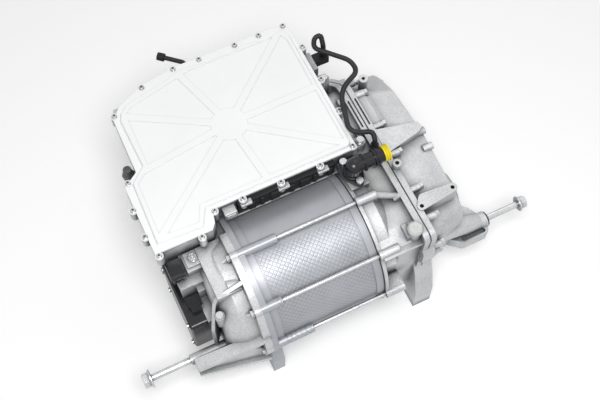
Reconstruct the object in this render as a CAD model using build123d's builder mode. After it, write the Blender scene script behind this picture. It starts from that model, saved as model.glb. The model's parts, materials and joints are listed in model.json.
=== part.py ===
from build123d import *
import os
from math import acos, atan2, cos, degrees, hypot, pi, radians, sin, tan

os.makedirs("parts", exist_ok=True)

# An electric drive unit: a motor, a two-stage gearbox with its differential, and an inverter on top.
# Sizes are in millimetres. Everything is laid out from the motor axis at the left flange face:
# x runs to the gearbox, y to the back, z up. DATUM is that point in the unit's own frame, whose
# origin lies on the floor under the middle of the unit.
DATUM = (-153, -133.6, 150)
FLOOR = -DATUM[2]

# Clearances
RUN = 0.05
FIT = 0.1
AIR = 0.3

# Stator housing
SLEEVE_LENGTH = 208
SLEEVE_R = 116
STATOR_R = 110
RING_R = 118
RING_WIDTH = 14
FLANGE_R = 127
FLANGE_T = 10

# Tie rods
ROD_R = 3.5
ROD_CIRCLE_R = 122
ROD_COUNT = 8
ROD_BOSS_R = 8
ROD_BOSS_LENGTHS = (67, 36, 74, 40, 40, 40, 40, 40)
ROD_GRIP = 20
ROD_HEAD_BOSS = 12
ROD_HEAD_R = 6.5
ROD_HEAD_T = 6

# Stator and rotor
CORE_START = 34
CORE_LENGTH = SLEEVE_LENGTH - CORE_START - 30
SLOT_COUNT = 24
SLOT_WIDTH = 7
SLOT_TOP_R = 101
ROTOR_R = 77.2
AIR_GAP = 0.8
END_TURN_R = 102
END_TURN_LEFT = 26
END_TURN_RIGHT = 14
END_TURN_GAP = 14
SHAFT_R = 28
POLES = 8
MAGNET = (19, 6)
MAGNET_TILT = 24
END_PLATE_T = 4

# Bearings: bore radius, outer radius and width
ROTOR_BEARING = (20, 40, 18)
INPUT_BEARING = (15, 28, 16)
COUNTER_BEARING = (15, 31, 16)
CASE_BEARING = (27.5, 45, 18)
CASE_END_BEARING = (22.5, 37.5, 16)
RACE = 0.3

# Gears: teeth, module and face width
INPUT_TEETH, COUNTER_TEETH, FIRST_MODULE, FIRST_FACE = 17, 51, 2.5, 28
PINION_TEETH, RING_TEETH, SECOND_MODULE, SECOND_FACE = 16, 49, 3.25, 32
PRESSURE_ANGLE = radians(20)
BACKLASH = 0.3
COUNTER_ANGLE = radians(11.5)
OUTPUT_ANGLE = radians(-26)
FIRST_REACH = FIRST_MODULE * (INPUT_TEETH + COUNTER_TEETH) / 2
SECOND_REACH = SECOND_MODULE * (PINION_TEETH + RING_TEETH) / 2
COUNTER_AXIS = (FIRST_REACH * cos(COUNTER_ANGLE), FIRST_REACH * sin(COUNTER_ANGLE))
OUTPUT_AXIS = (
    COUNTER_AXIS[0] + SECOND_REACH * cos(OUTPUT_ANGLE),
    COUNTER_AXIS[1] + SECOND_REACH * sin(OUTPUT_ANGLE),
)

# Gearbox: its inner half reaches from the sleeve to the split, its outer half on to the end face.
# Outlines across the motor axis are hulls of circles, each with its centre and radius.
GEARBOX_START = SLEEVE_LENGTH
INNER_DEPTH = 84
OUTER_DEPTH = 86
SPLIT = GEARBOX_START + INNER_DEPTH
GEARBOX_END = SPLIT + OUTER_DEPTH
WALL = 8
RIM_T = 11
RIM_END = SPLIT + RIM_T
SECOND_START = GEARBOX_START + 44
FIRST_START = GEARBOX_END - 56
FAR_BEARING = GEARBOX_END - 26
MOTOR_SPOT = (0, 0)
BODY_TOP = 100
RIM_TOP = 110
BODY = (((-88, 83), 5), ((-55, BODY_TOP - 20), 20), ((196, BODY_TOP - 28), 28), (OUTPUT_AXIS, 102), ((-66, -66), 27))
RIM = (((-88, RIM_TOP - 15), 15), ((196, RIM_TOP - 36), 36), (OUTPUT_AXIS, 115), ((-70, -84), 24))
RIM_LUG = (((-100, 53), 8), ((-100, 27), 8), ((-86, 70), 8), ((-86, 10), 8))
OUTER_BODY = (((-66, 64), 28), (COUNTER_AXIS, 82), ((190, 66), 30), (OUTPUT_AXIS, 102), ((-60, -62), 30))
OUTER_FACE = (((-34, 36), 38), (COUNTER_AXIS, 72), ((176, 50), 24), (OUTPUT_AXIS, 92), ((-34, -40), 34))
BAND_LENGTH = 27
BAND_SLOPE = 22
BAND_BOTTOM = 60
SEAM_R = 122
SEAM_T = 6
JOINT_BOLT_R = 4
JOINT_BOSS_R = 6.5
JOINT_BOSS = 16
JOINT_TAIL = 12
JOINT_HEAD_R = 6.5
JOINT_HEAD_T = 6
JOINT_TOP = RIM_TOP - 6
JOINT_ROW = ((-12, JOINT_TOP), (-66, JOINT_TOP - 2), (60, JOINT_TOP), (118, JOINT_TOP), (186, JOINT_TOP))
JOINT_SIDES = ((222, 84), (-97, 54), (-97, 26), (-60, -102), (20, -114), (100, -126))
JOINT_OUTPUT_CIRCLE = 104
JOINT_OUTPUT_ANGLES = (45, 12, -20, -55, -88)
ROD_BOSS_LENGTH = 35
INNER_ROD_BOSS = 26

# Left end housing
END_DEPTH = 64
END_WALL = 10
END_STEP = 16
SENSOR_R = 44
END_COVER_T = 30
END_COVER_TOP = 48
END_COVER_WALL = 3

# Mounts
LEFT_MOUNT = (-77, -30)
RIGHT_MOUNT = (-66, -30)
LEFT_ARM_END = -128
RIGHT_ARM_END = GEARBOX_END + 58
ARM_BOSS_R = 9
RIGHT_BOSS_R = 15
MOUNT_BOLT_R = 6
MOUNT_GRIP = 50
BUSH_R = 10
BUSH_LENGTH = 30
LEFT_BOLT_SEAT = -197
RIGHT_BOLT_SEAT = RIGHT_ARM_END + 67
FOOT_T = 21
LEFT_FOOT_HOLE = (FOOT_T / 2, -104)
RIGHT_FOOT_HOLE = (SPLIT + 9.5, -106)
FOOT_HOLE_R = 5
FOOT_HOLE_DEPTH = 24
GROUND_BOLT = (-64, 31)
COVER_SCREWS = ((-44, 38), (62, 38), (-44, -48), (60, -52), (72, 8))

# Inverter
INVERTER_END = GEARBOX_START + 42
LID_BOTTOM = 139
LID_FLANGE_T = 4
PLATEAU_T = 4
POCKET = 1.2
GASKET_T = 1
BOX_BOTTOM = 102
BOX_WALL = 6
BOX_FLOOR = 5
LID_OUTLINE = (
    (-116, 47), (-19, 47), (-11, 57), (-6, 79), (INVERTER_END, 79), (INVERTER_END, 350),
    (36, 350), (-24, 340), (-70, 318), (-88, 298), (-90, 192), (-116, 174),
)
SCREW_SPOTS = (
    (-84, 303), (-23, 335), (38, 346), (85, 345), (151, 345), (196, 345), (INVERTER_END - 8, 345),
    (INVERTER_END + 4, 292), (INVERTER_END + 4, 220), (INVERTER_END + 4, 153), (INVERTER_END - 6, 84),
    (181, 75), (111.5, 75), (44.5, 75), (-4, 75), (-39, 42), (-111, 42), (-119, 81), (-119, 131), (-109, 179),
)
SCREW_R = 2.5
SCREW_HEAD_R = 4.4
EAR_R = 6.5
TUB = ((-80, 132), (GEARBOX_START - 12, 338))
TUB_BOTTOM = 50
EAR_BOTTOM = 120
PLATEAU = (
    (-107, 60), (-30, 56), (-14, 85), (INVERTER_END - 12, 85), (INVERTER_END - 6, 92), (INVERTER_END - 6, 322),
    (INVERTER_END - 14, 339), (202, 330), (182, 338), (158, 338), (142, 334), (83, 335), (52, 340), (19, 331),
    (-58, 315), (-74, 302), (-79, 288), (-77, 197), (-103, 174),
)
POCKETS = ((-98, 70), (-34, 66), (-20, 94), (INVERTER_END - 14, 94), (INVERTER_END - 14, 316),
           (INVERTER_END - 22, 330), (60, 330), (20, 321), (-52, 306), (-66, 296), (-69, 190), (-95, 168))
STAR_CENTRE = (80, 207)
STAR_R = 30
STAR_RIB = 12
STAR_ENDS = ((INVERTER_END - 14, 340), (INVERTER_END - 4, 210), (INVERTER_END - 10, 90), (96, 80), (-110, 58),
             (-105, 184), (-78, 298), (42, 330))
STEP_X = GEARBOX_START - 8
STEP_BOTTOM = 116
FIXING_LUGS = ((INVERTER_END + 16, 98), (INVERTER_END + 16, 232))
LUG_BOTTOM = 112
LUG_T = 8
LUG_R = 9
FIX_BOLT_R = 4


def across(x):
    """A plane square to the motor axis: its x is the unit's y, its y is the unit's z."""
    return Plane(origin=(DATUM[0] + x, DATUM[1], DATUM[2]), x_dir=(0, 1, 0), z_dir=(1, 0, 0))


def level(z):
    """A horizontal plane."""
    return Plane(origin=(DATUM[0], DATUM[1], DATUM[2] + z))


def facing(y):
    """An upright plane that looks to the front: its y is the unit's z."""
    return Plane(origin=(DATUM[0], DATUM[1] + y, DATUM[2]), x_dir=(1, 0, 0), z_dir=(0, -1, 0))


def spot(x, y, z):
    return (DATUM[0] + x, DATUM[1] + y, DATUM[2] + z)


def line_along_x(axis=(0, 0)):
    return Axis(spot(0, *axis), (1, 0, 0))


def save(piece, name):
    piece.part.label = name
    export_step(piece.part, f"parts/{name}.step")


def rod_spot(index):
    angle = pi / 2 + index * 2 * pi / ROD_COUNT
    return ROD_CIRCLE_R * cos(angle), ROD_CIRCLE_R * sin(angle)


def ring(x, width, inner, outer, axis=(0, 0)):
    """A ring about a line along x, added to the part being built."""
    with BuildSketch(across(x)) as profile:
        with Locations(axis):
            Circle(outer)
            Circle(inner, mode=Mode.SUBTRACT)
    extrude(profile.sketch, amount=width)


def bar(x, width, radius, axis=(0, 0), mode=Mode.ADD):
    """A round bar along x, added to the part being built or cut from it."""
    with BuildSketch(across(x)) as profile:
        with Locations(axis):
            Circle(radius)
    extrude(profile.sketch, amount=width, mode=mode)


def hull_face(x, spots):
    """The hull of circles, given as centre and radius, on a plane across the motor axis."""
    with BuildSketch(across(x)) as profile:
        for centre, radius in spots:
            with Locations(centre):
                Circle(radius)
        make_hull()
    return profile.sketch


def hull_bar(x, width, spots, mode=Mode.ADD):
    """A bar whose profile is the hull of circles, given as centre and radius."""
    extrude(hull_face(x, spots), amount=width, mode=mode)


def post(centre, bottom, top, radius, mode=Mode.ADD):
    """An upright round post, added to the part being built or cut from it."""
    with BuildSketch(level(bottom)) as profile:
        with Locations(centre):
            Circle(radius)
    extrude(profile.sketch, amount=top - bottom, mode=mode)


def block(start, end, mode=Mode.ADD):
    """A box between two opposite corners, added to the part being built or cut from it."""
    with BuildSketch(level(start[2])) as profile:
        with Locations(start[:2]):
            Rectangle(end[0] - start[0], end[1] - start[1], align=Align.MIN)
    extrude(profile.sketch, amount=end[2] - start[2], mode=mode)


def wedge(x, width, outline, mode=Mode.ADD):
    """A straight-sided piece with an outline across the motor axis."""
    with BuildSketch(across(x)) as profile:
        Polygon(*outline, align=None)
    extrude(profile.sketch, amount=width, mode=mode)


def involute(angle):
    return tan(angle) - angle


def gear_outline(teeth, module, phase):
    """Points round a gear, each flank drawn from root to tip through the pitch circle."""
    pitch = module * teeth / 2
    base = pitch * cos(PRESSURE_ANGLE)
    root = pitch - 1.25 * module
    flank = (root, max(root + FIT, base + FIT), pitch, pitch + module)
    points = []
    for tooth in range(teeth):
        centre = phase + 2 * pi * tooth / teeth
        for side, radii in ((-1, flank), (1, flank[::-1])):
            for radius in radii:
                slope = acos(min(1, base / radius))
                half = (pi / 2 - BACKLASH / module) / teeth + involute(PRESSURE_ANGLE) - involute(slope)
                angle = centre + side * half
                points.append((radius * cos(angle), radius * sin(angle)))
    return points


def toothed_wheel(x, width, teeth, module, phase, bore, axis):
    """A spur gear about a line along x."""
    with BuildPart() as wheel:
        with BuildSketch(across(x)):
            with Locations(axis):
                Polygon(*gear_outline(teeth, module, phase), align=None)
                Circle(bore, mode=Mode.SUBTRACT)
        extrude(amount=width)
    return wheel


# Stator housing: a sleeve with an end flange, two plain rings, a boss for each tie rod and a front foot
LEFT_FOOT = ((-122, FLOOR), (-86, FLOOR), (-76, -96), (-90, -70), (-112, -62), (-124, -92))
with BuildPart() as stator_housing:
    with BuildSketch(facing(0)):
        Polygon(
            (0, STATOR_R), (0, FLANGE_R), (FLANGE_T, FLANGE_R), (FLANGE_T, RING_R),
            (FLANGE_T + RING_WIDTH, RING_R), (FLANGE_T + RING_WIDTH, SLEEVE_R),
            (SLEEVE_LENGTH - RING_WIDTH, SLEEVE_R), (SLEEVE_LENGTH - RING_WIDTH, RING_R),
            (SLEEVE_LENGTH, RING_R), (SLEEVE_LENGTH, STATOR_R),
            align=None,
        )
    revolve(axis=line_along_x())
    for index, length in enumerate(ROD_BOSS_LENGTHS):
        bar(0, length, ROD_BOSS_R, rod_spot(index))
    wedge(0, FOOT_T, LEFT_FOOT)
    for index in range(ROD_COUNT):
        bar(0, SLEEVE_LENGTH, ROD_R + 2 * FIT, rod_spot(index), Mode.SUBTRACT)
    bar(0, SLEEVE_LENGTH, STATOR_R, mode=Mode.SUBTRACT)
    post(LEFT_FOOT_HOLE, FLOOR, FLOOR + FOOT_HOLE_DEPTH, FOOT_HOLE_R, Mode.SUBTRACT)
save(stator_housing, "stator_housing")

# Stator core: a laminated ring with slots that open to the bore
STATOR_BORE_R = ROTOR_R + AIR_GAP
with BuildPart() as stator_core:
    with BuildSketch(across(CORE_START)):
        Circle(STATOR_R - RUN)
        Circle(STATOR_BORE_R, mode=Mode.SUBTRACT)
        with PolarLocations(STATOR_BORE_R - 1, SLOT_COUNT):
            Rectangle(SLOT_TOP_R - STATOR_BORE_R + 1, SLOT_WIDTH, align=(Align.MIN, Align.CENTER), mode=Mode.SUBTRACT)
    extrude(amount=CORE_LENGTH)
save(stator_core, "stator_core")

# Winding: a bar in each slot, joined by an end turn at each end of the core
BAR_FOOT_R = STATOR_BORE_R + 3
CORE_END = CORE_START + CORE_LENGTH
with BuildPart() as stator_winding:
    with BuildSketch(across(CORE_START - END_TURN_GAP)):
        with PolarLocations(BAR_FOOT_R, SLOT_COUNT):
            Rectangle(SLOT_TOP_R - BAR_FOOT_R - FIT, SLOT_WIDTH - 4 * FIT, align=(Align.MIN, Align.CENTER))
    extrude(amount=CORE_LENGTH + 2 * END_TURN_GAP - 2)
    ring(CORE_START - END_TURN_GAP - END_TURN_LEFT, END_TURN_LEFT, BAR_FOOT_R - 1, END_TURN_R)
    ring(CORE_END + END_TURN_GAP - 2, END_TURN_RIGHT, BAR_FOOT_R - 1, END_TURN_R)
save(stator_winding, "stator_winding")


def end_plates(shaft_r):
    ring(CORE_START - END_PLATE_T, END_PLATE_T, shaft_r, ROTOR_R - 3)
    ring(CORE_END, END_PLATE_T, shaft_r, ROTOR_R - 3)


def magnet_sketch(length, width):
    """Two magnets to a pole, set in a shallow V below the rotor's skin."""
    middle = ROTOR_R - 13
    for pole in range(POLES):
        for side in (-1, 1):
            turn = 360 * (pole + side / 4.2) / POLES
            with Locations((middle * cos(radians(turn)), middle * sin(radians(turn)))):
                Rectangle(length, width, rotation=turn + 90 - side * MAGNET_TILT)


# Rotor: core with its buried magnets, end plates and stepped shaft
with BuildPart() as rotor_magnets:
    with BuildSketch(across(CORE_START)):
        magnet_sketch(MAGNET[0] - 2 * FIT, MAGNET[1] - 2 * FIT)
    extrude(amount=CORE_LENGTH)
save(rotor_magnets, "rotor_magnets")

with BuildPart() as rotor_core:
    with BuildSketch(across(CORE_START)):
        Circle(ROTOR_R)
        Circle(SHAFT_R, mode=Mode.SUBTRACT)
    extrude(amount=CORE_LENGTH)
    with BuildSketch(across(CORE_START)):
        magnet_sketch(*MAGNET)
    extrude(amount=CORE_LENGTH, mode=Mode.SUBTRACT)
save(rotor_core, "rotor_core")

with BuildPart() as rotor_end_plates:
    end_plates(SHAFT_R)
save(rotor_end_plates, "rotor_end_plates")

LEFT_BEARING = -40
RIGHT_BEARING = GEARBOX_START + 2
with BuildPart() as rotor_shaft:
    bar(LEFT_BEARING - 22, 22, 12)
    bar(LEFT_BEARING, ROTOR_BEARING[2] + 2, ROTOR_BEARING[0])
    bar(LEFT_BEARING + ROTOR_BEARING[2] + 2, CORE_END + 24 - LEFT_BEARING - ROTOR_BEARING[2] - 2, SHAFT_R)
    bar(CORE_END + 24, RIGHT_BEARING + ROTOR_BEARING[2] - CORE_END - 24, ROTOR_BEARING[0])
    bar(RIGHT_BEARING + ROTOR_BEARING[2], FAR_BEARING + INPUT_BEARING[2] - RIGHT_BEARING - ROTOR_BEARING[2],
        INPUT_BEARING[0])
save(rotor_shaft, "rotor_shaft")

# Position sensor: a lobed wheel on the shaft's end inside a fixed ring
SENSOR_T = 10
SENSOR_START = LEFT_BEARING - 6 - SENSOR_T
with BuildPart() as sensor_wheel:
    with BuildSketch(across(SENSOR_START)):
        with PolarLocations(4, 3):
            Circle(16)
        Circle(12, mode=Mode.SUBTRACT)
    extrude(amount=SENSOR_T)
save(sensor_wheel, "sensor_wheel")

with BuildPart() as position_sensor:
    ring(SENSOR_START, SENSOR_T, 22, SENSOR_R - FIT)
save(position_sensor, "position_sensor")

# Gears: each pair is set so that a tooth of one faces a gap of the other
input_pinion = toothed_wheel(
    FIRST_START, FIRST_FACE, INPUT_TEETH, FIRST_MODULE, COUNTER_ANGLE, INPUT_BEARING[0], (0, 0))
save(input_pinion, "input_pinion")

countershaft_gear = toothed_wheel(
    FIRST_START, FIRST_FACE, COUNTER_TEETH, FIRST_MODULE,
    COUNTER_ANGLE + pi + pi / COUNTER_TEETH, COUNTER_BEARING[0] + 3, COUNTER_AXIS)
save(countershaft_gear, "countershaft_gear")

countershaft_pinion = toothed_wheel(
    SECOND_START, SECOND_FACE, PINION_TEETH, SECOND_MODULE, OUTPUT_ANGLE, COUNTER_BEARING[0], COUNTER_AXIS)
save(countershaft_pinion, "countershaft_pinion")

CASE_R = 46
CASE_FLANGE_R = 67
CASE_FLANGE_T = 8
ring_gear = toothed_wheel(
    SECOND_START, SECOND_FACE, RING_TEETH, SECOND_MODULE,
    OUTPUT_ANGLE + pi + pi / RING_TEETH, CASE_R, OUTPUT_AXIS)
save(ring_gear, "ring_gear")

COUNTER_LEFT = SECOND_START - COUNTER_BEARING[2] - 4
with BuildPart() as countershaft:
    bar(COUNTER_LEFT, FAR_BEARING + COUNTER_BEARING[2] - COUNTER_LEFT, COUNTER_BEARING[0], COUNTER_AXIS)
    bar(SECOND_START + SECOND_FACE, FAR_BEARING - SECOND_START - SECOND_FACE, COUNTER_BEARING[0] + 3, COUNTER_AXIS)
save(countershaft, "countershaft")

# Differential: a case on two hubs, a cross pin, two bevel pinions and two side gears
CASE_START = SECOND_START - CASE_FLANGE_T
CASE_END = FIRST_START - 6
CASE_MIDDLE = (CASE_START + CASE_END) / 2
CAVITY_R = 34
HUB_BORE_R = 19
SIDE_BORE_R = 14
PIN_R = 8
CASE_BEARING_START = GEARBOX_START + 14
WINDOW = (36, 44)
case_axis = line_along_x(OUTPUT_AXIS)
with BuildPart() as differential_case:
    bar(CASE_BEARING_START, CASE_START - CASE_BEARING_START, CASE_BEARING[0], OUTPUT_AXIS)
    bar(CASE_START, CASE_FLANGE_T, CASE_FLANGE_R, OUTPUT_AXIS)
    bar(CASE_START + CASE_FLANGE_T, CASE_END - CASE_START - CASE_FLANGE_T, CASE_R - RUN, OUTPUT_AXIS)
    bar(CASE_END, FAR_BEARING + CASE_END_BEARING[2] - CASE_END, CASE_END_BEARING[0], OUTPUT_AXIS)
    bar(CASE_BEARING_START, FAR_BEARING + CASE_END_BEARING[2] - CASE_BEARING_START, HUB_BORE_R + RUN,
        OUTPUT_AXIS, Mode.SUBTRACT)
    with Locations(spot(CASE_MIDDLE, *OUTPUT_AXIS)):
        Sphere(CAVITY_R, mode=Mode.SUBTRACT)
        Cylinder(PIN_R + RUN, 2 * CASE_R, mode=Mode.SUBTRACT)
        Box(WINDOW[0], 2 * CASE_R, WINDOW[1], mode=Mode.SUBTRACT)
save(differential_case, "differential_case")

with BuildPart() as cross_pin:
    with Locations(spot(CASE_MIDDLE, *OUTPUT_AXIS)):
        Cylinder(PIN_R, 2 * CASE_R - 4)
save(cross_pin, "cross_pin")

CONE = 1.6
CONE_GAP = 0.3
SIDE_GEAR_R = 22.8
SIDE_GEAR_FACE = PIN_R + 2
SIDE_GEAR_BACK = 28


def side_gear(side, end):
    """A bevel side gear with a long hub; side is -1 for left and 1 for right."""
    outline = (
        (SIDE_GEAR_FACE, SIDE_BORE_R), (SIDE_GEAR_FACE, CONE * SIDE_GEAR_FACE - CONE_GAP),
        (SIDE_GEAR_R / CONE + CONE_GAP, SIDE_GEAR_R), (SIDE_GEAR_BACK - 8, SIDE_GEAR_R),
        (SIDE_GEAR_BACK, HUB_BORE_R), (side * (end - CASE_MIDDLE), HUB_BORE_R),
        (side * (end - CASE_MIDDLE), SIDE_BORE_R),
    )
    with BuildPart() as gear:
        with BuildSketch(facing(OUTPUT_AXIS[0])):
            with Locations((CASE_MIDDLE, OUTPUT_AXIS[1])):
                Polygon(*((side * reach, radius) for reach, radius in outline), align=None)
        revolve(axis=case_axis)
    return gear


LEFT_OUTPUT_END = GEARBOX_START - 6
RIGHT_OUTPUT_END = GEARBOX_END + 14
left_side_gear = side_gear(-1, LEFT_OUTPUT_END)
save(left_side_gear, "left_side_gear")
right_side_gear = side_gear(1, RIGHT_OUTPUT_END)
save(right_side_gear, "right_side_gear")


def bevel_pinion(side):
    """A bevel pinion on the cross pin; side is 1 for the upper one."""
    outline = (
        (PIN_R + RUN, CONE * (PIN_R + RUN) + CONE_GAP), (SIDE_GEAR_R / CONE, SIDE_GEAR_R + 2 * CONE_GAP),
        (11.5, 27.5), (12, 29.5), (PIN_R + RUN, 32),
    )
    with BuildPart() as gear:
        with BuildSketch(facing(OUTPUT_AXIS[0])):
            with Locations((CASE_MIDDLE, OUTPUT_AXIS[1])):
                Polygon(*((radius, side * reach) for radius, reach in outline), align=None)
        revolve(axis=Axis(spot(CASE_MIDDLE, *OUTPUT_AXIS), (0, 0, 1)))
    return gear


upper_bevel_pinion = bevel_pinion(1)
save(upper_bevel_pinion, "upper_bevel_pinion")
lower_bevel_pinion = bevel_pinion(-1)
save(lower_bevel_pinion, "lower_bevel_pinion")

RING_BOLTS = 8
RING_BOLT_CIRCLE = 57
with BuildPart() as ring_gear_bolts:
    with BuildSketch(across(CASE_START - 5)):
        with Locations(OUTPUT_AXIS):
            with PolarLocations(RING_BOLT_CIRCLE, RING_BOLTS):
                RegularPolygon(5, 6)
    extrude(amount=5)
save(ring_gear_bolts, "ring_gear_bolts")


def bearing(start, sizes, axis=(0, 0), part="outer"):
    """One ring of a bearing; the two rings meet at a running gap."""
    bore, outer, width = sizes
    middle = bore + (outer - bore) * RACE
    if part == "outer":
        ring(start, width, middle + RUN, outer - RUN, axis)
    else:
        ring(start, width, bore, middle, axis)


BEARINGS = {
    "rotor": ((LEFT_BEARING, ROTOR_BEARING, (0, 0)), (RIGHT_BEARING, ROTOR_BEARING, (0, 0)),
              (FAR_BEARING, INPUT_BEARING, (0, 0))),
    "countershaft": ((COUNTER_LEFT, COUNTER_BEARING, COUNTER_AXIS),
                     (FAR_BEARING, COUNTER_BEARING, COUNTER_AXIS)),
    "differential": ((CASE_BEARING_START, CASE_BEARING, OUTPUT_AXIS),
                     (FAR_BEARING, CASE_END_BEARING, OUTPUT_AXIS)),
}
for shaft, bearings in BEARINGS.items():
    with BuildPart() as outer_rings:
        for start, sizes, axis in bearings:
            bearing(start, sizes, axis)
    save(outer_rings, f"{shaft}_bearing_outer_rings")
    with BuildPart() as inner_rings:
        for start, sizes, axis in bearings:
            bearing(start, sizes, axis, "inner")
    save(inner_rings, f"{shaft}_bearing_inner_rings")

# Left end housing: a domed shell with the bearing seat, the sensor pocket, a mount arm and a rear foot
REAR_FOOT = ((132, FLOOR), (166, FLOOR), (122, -52), (98, -66))
END_INNER = -END_DEPTH + END_WALL
SEAT_DEPTH = 20
SEAT_WALL = 12
COVER_OUTLINE = (
    (-56, END_COVER_TOP), (70, END_COVER_TOP), (86, 20), (70, -60), (40, -74), (-34, -74), (-54, -52),
)
COVER_SEAT = -END_DEPTH - END_STEP
NOSE = ((-100, -4, END_COVER_TOP), (-60, 46, 90))
NOSE_STEP = ((-76, -14, END_COVER_TOP), (-58, 2, 78))
TERMINAL_BLOCK = ((-80, 12, 60), (-48, 46, 106))
TERMINAL_PAD = ((-77, 18, 106), (-51, 44, 109))
TOP_BLOCK = ((-56, -50, 40), (-14, 44, 110))
TOP_BOSS = (-34, 100)
HOUSING_TOP_Z = 100
INVERTER_FRONT = 44
INVERTER_POST = (-8, 107)
BAR_SLOT = ((-54, 56), (-22, 67))
HOUSING_RIB = ((-2, -43), (-62, -47), (-79, -74))
DOME_SCREWS = ((-62, -66),)
DOME_SCREW_TOP = 84
ARM_WEB = (((-116, 38), (-106, 40), (-104, -70), (-114, -72)), ((-98, -15), (-86, -14), (-86, -40), (-98, -42)))
ARM_UPPER_RIDGE = (((-124, 46), (-106, 46), (-106, 36), (-124, 34)),
                   ((-106, -10), (-84, -10), (-84, -17), (-106, -19)))
ARM_LOWER_RIDGE = (((-122, -62), (-104, -60), (-104, -72), (-122, -74)),
                   ((-106, -36), (-84, -36), (-84, -44), (-106, -44)))


def fin(root, tip):
    """A tapered fin of the left arm, from the flange to near the arm's end."""
    faces = []
    for x, outline in ((-2, root), (LEFT_ARM_END + 5, tip)):
        with BuildSketch(across(x)) as profile:
            Polygon(*outline, align=None)
        faces.append(profile.sketch)
    loft(faces)


with BuildPart() as housing_rib:
    with BuildSketch(level(-24)):
        with BuildLine():
            FilletPolyline(*HOUSING_RIB, radius=12)
        trace(line_width=6)
    extrude(amount=160)
    with BuildSketch(facing(0)):
        Polygon(
            (0, 0), (0, FLANGE_R), (-14, RING_R + 8), (-END_DEPTH + 8, 116), (-END_DEPTH, 108),
            (-END_DEPTH - 20, 84), (-END_DEPTH - 20, 0),
            align=None,
        )
    revolve(axis=line_along_x(), mode=Mode.INTERSECT)

with BuildPart() as left_end_housing:
    with BuildSketch(facing(0)) as shell:
        Polygon(
            (0, 0), (0, FLANGE_R), (-12, FLANGE_R), (-14, RING_R - 1), (-34, 113), (-END_DEPTH, 94),
            (-END_DEPTH, 0),
            align=None,
        )
        fillet(shell.vertices().group_by(Axis.X)[0].sort_by(Axis.Y)[-1], radius=22)
    revolve(axis=line_along_x())
    wedge(COVER_SEAT, END_STEP + 2, COVER_OUTLINE)
    block(*NOSE)
    block(*NOSE_STEP)
    block(*TERMINAL_BLOCK)
    block(*TERMINAL_PAD)
    block(*TOP_BLOCK)
    bar(-34, 34, 12, TOP_BOSS)
    for index in range(ROD_COUNT):
        bar(-ROD_HEAD_BOSS, ROD_HEAD_BOSS, ROD_BOSS_R, rod_spot(index))
    bar(LEFT_ARM_END, -END_DEPTH + 4 - LEFT_ARM_END, ARM_BOSS_R, LEFT_MOUNT)
    for ridge in (ARM_WEB, ARM_UPPER_RIDGE, ARM_LOWER_RIDGE):
        fin(*ridge)
    wedge(-FOOT_T - 1, FOOT_T, REAR_FOOT)
    post(INVERTER_POST, 50, BOX_BOTTOM, 8)
    for place in DOME_SCREWS:
        post(place, 50, DOME_SCREW_TOP, 8)
    add(housing_rib.part)
    with BuildSketch(facing(0)):
        Polygon(
            (0, 0), (0, STATOR_R), (-ROD_HEAD_BOSS - 2, STATOR_R - 4), (-ROD_HEAD_BOSS - 4, 92), (END_INNER, 80),
            (END_INNER, ROTOR_BEARING[1] + SEAT_WALL), (LEFT_BEARING + SEAT_DEPTH, ROTOR_BEARING[1] + SEAT_WALL),
            (LEFT_BEARING + SEAT_DEPTH, ROTOR_BEARING[1]), (LEFT_BEARING, ROTOR_BEARING[1]),
            (LEFT_BEARING, 30), (LEFT_BEARING - 6, 30), (LEFT_BEARING - 6, SENSOR_R),
            (COVER_SEAT, SENSOR_R), (COVER_SEAT, 0),
            align=None,
        )
    revolve(axis=line_along_x(), mode=Mode.SUBTRACT)
    for index in range(ROD_COUNT):
        bar(-ROD_HEAD_BOSS, ROD_HEAD_BOSS, ROD_R + 2 * FIT, rod_spot(index), Mode.SUBTRACT)
        bar(-ROD_HEAD_BOSS - 16, 16, ROD_HEAD_R + 1, rod_spot(index), Mode.SUBTRACT)
    bar(LEFT_ARM_END, MOUNT_GRIP, MOUNT_BOLT_R + RUN, LEFT_MOUNT, Mode.SUBTRACT)
    block((COVER_SEAT - 40, INVERTER_FRONT, HOUSING_TOP_Z), (2, FLANGE_R, BOX_BOTTOM + 20), Mode.SUBTRACT)
    post(INVERTER_POST, HOUSING_TOP_Z - 2, BOX_BOTTOM, 8)
    post(INVERTER_POST, 84, BOX_BOTTOM, FIX_BOLT_R + RUN, Mode.SUBTRACT)
    block((*BAR_SLOT[0], 70), (*BAR_SLOT[1], HOUSING_TOP_Z + 8), Mode.SUBTRACT)
    for place in DOME_SCREWS:
        post(place, DOME_SCREW_TOP - 14, DOME_SCREW_TOP, 3 + RUN, Mode.SUBTRACT)
        post(place, DOME_SCREW_TOP, DOME_SCREW_TOP + 20, 7, Mode.SUBTRACT)
    for y, z in COVER_SCREWS:
        bar(COVER_SEAT, 12, 2 + RUN, (y, z), Mode.SUBTRACT)
    post(GROUND_BOLT, 80, 110, 5 + RUN, Mode.SUBTRACT)
save(left_end_housing, "left_end_housing")

# Tie rods: hexagon heads at the left, threads in the gearbox's inner half
with BuildPart() as tie_rods:
    for index in range(ROD_COUNT):
        bar(-ROD_HEAD_BOSS, SLEEVE_LENGTH + ROD_HEAD_BOSS + ROD_GRIP, ROD_R, rod_spot(index))
    with BuildSketch(across(-ROD_HEAD_BOSS - ROD_HEAD_T)):
        for index in range(ROD_COUNT):
            with Locations(rod_spot(index)):
                RegularPolygon(ROD_HEAD_R, 6)
    extrude(amount=ROD_HEAD_T)
save(tie_rods, "tie_rods")

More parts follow.
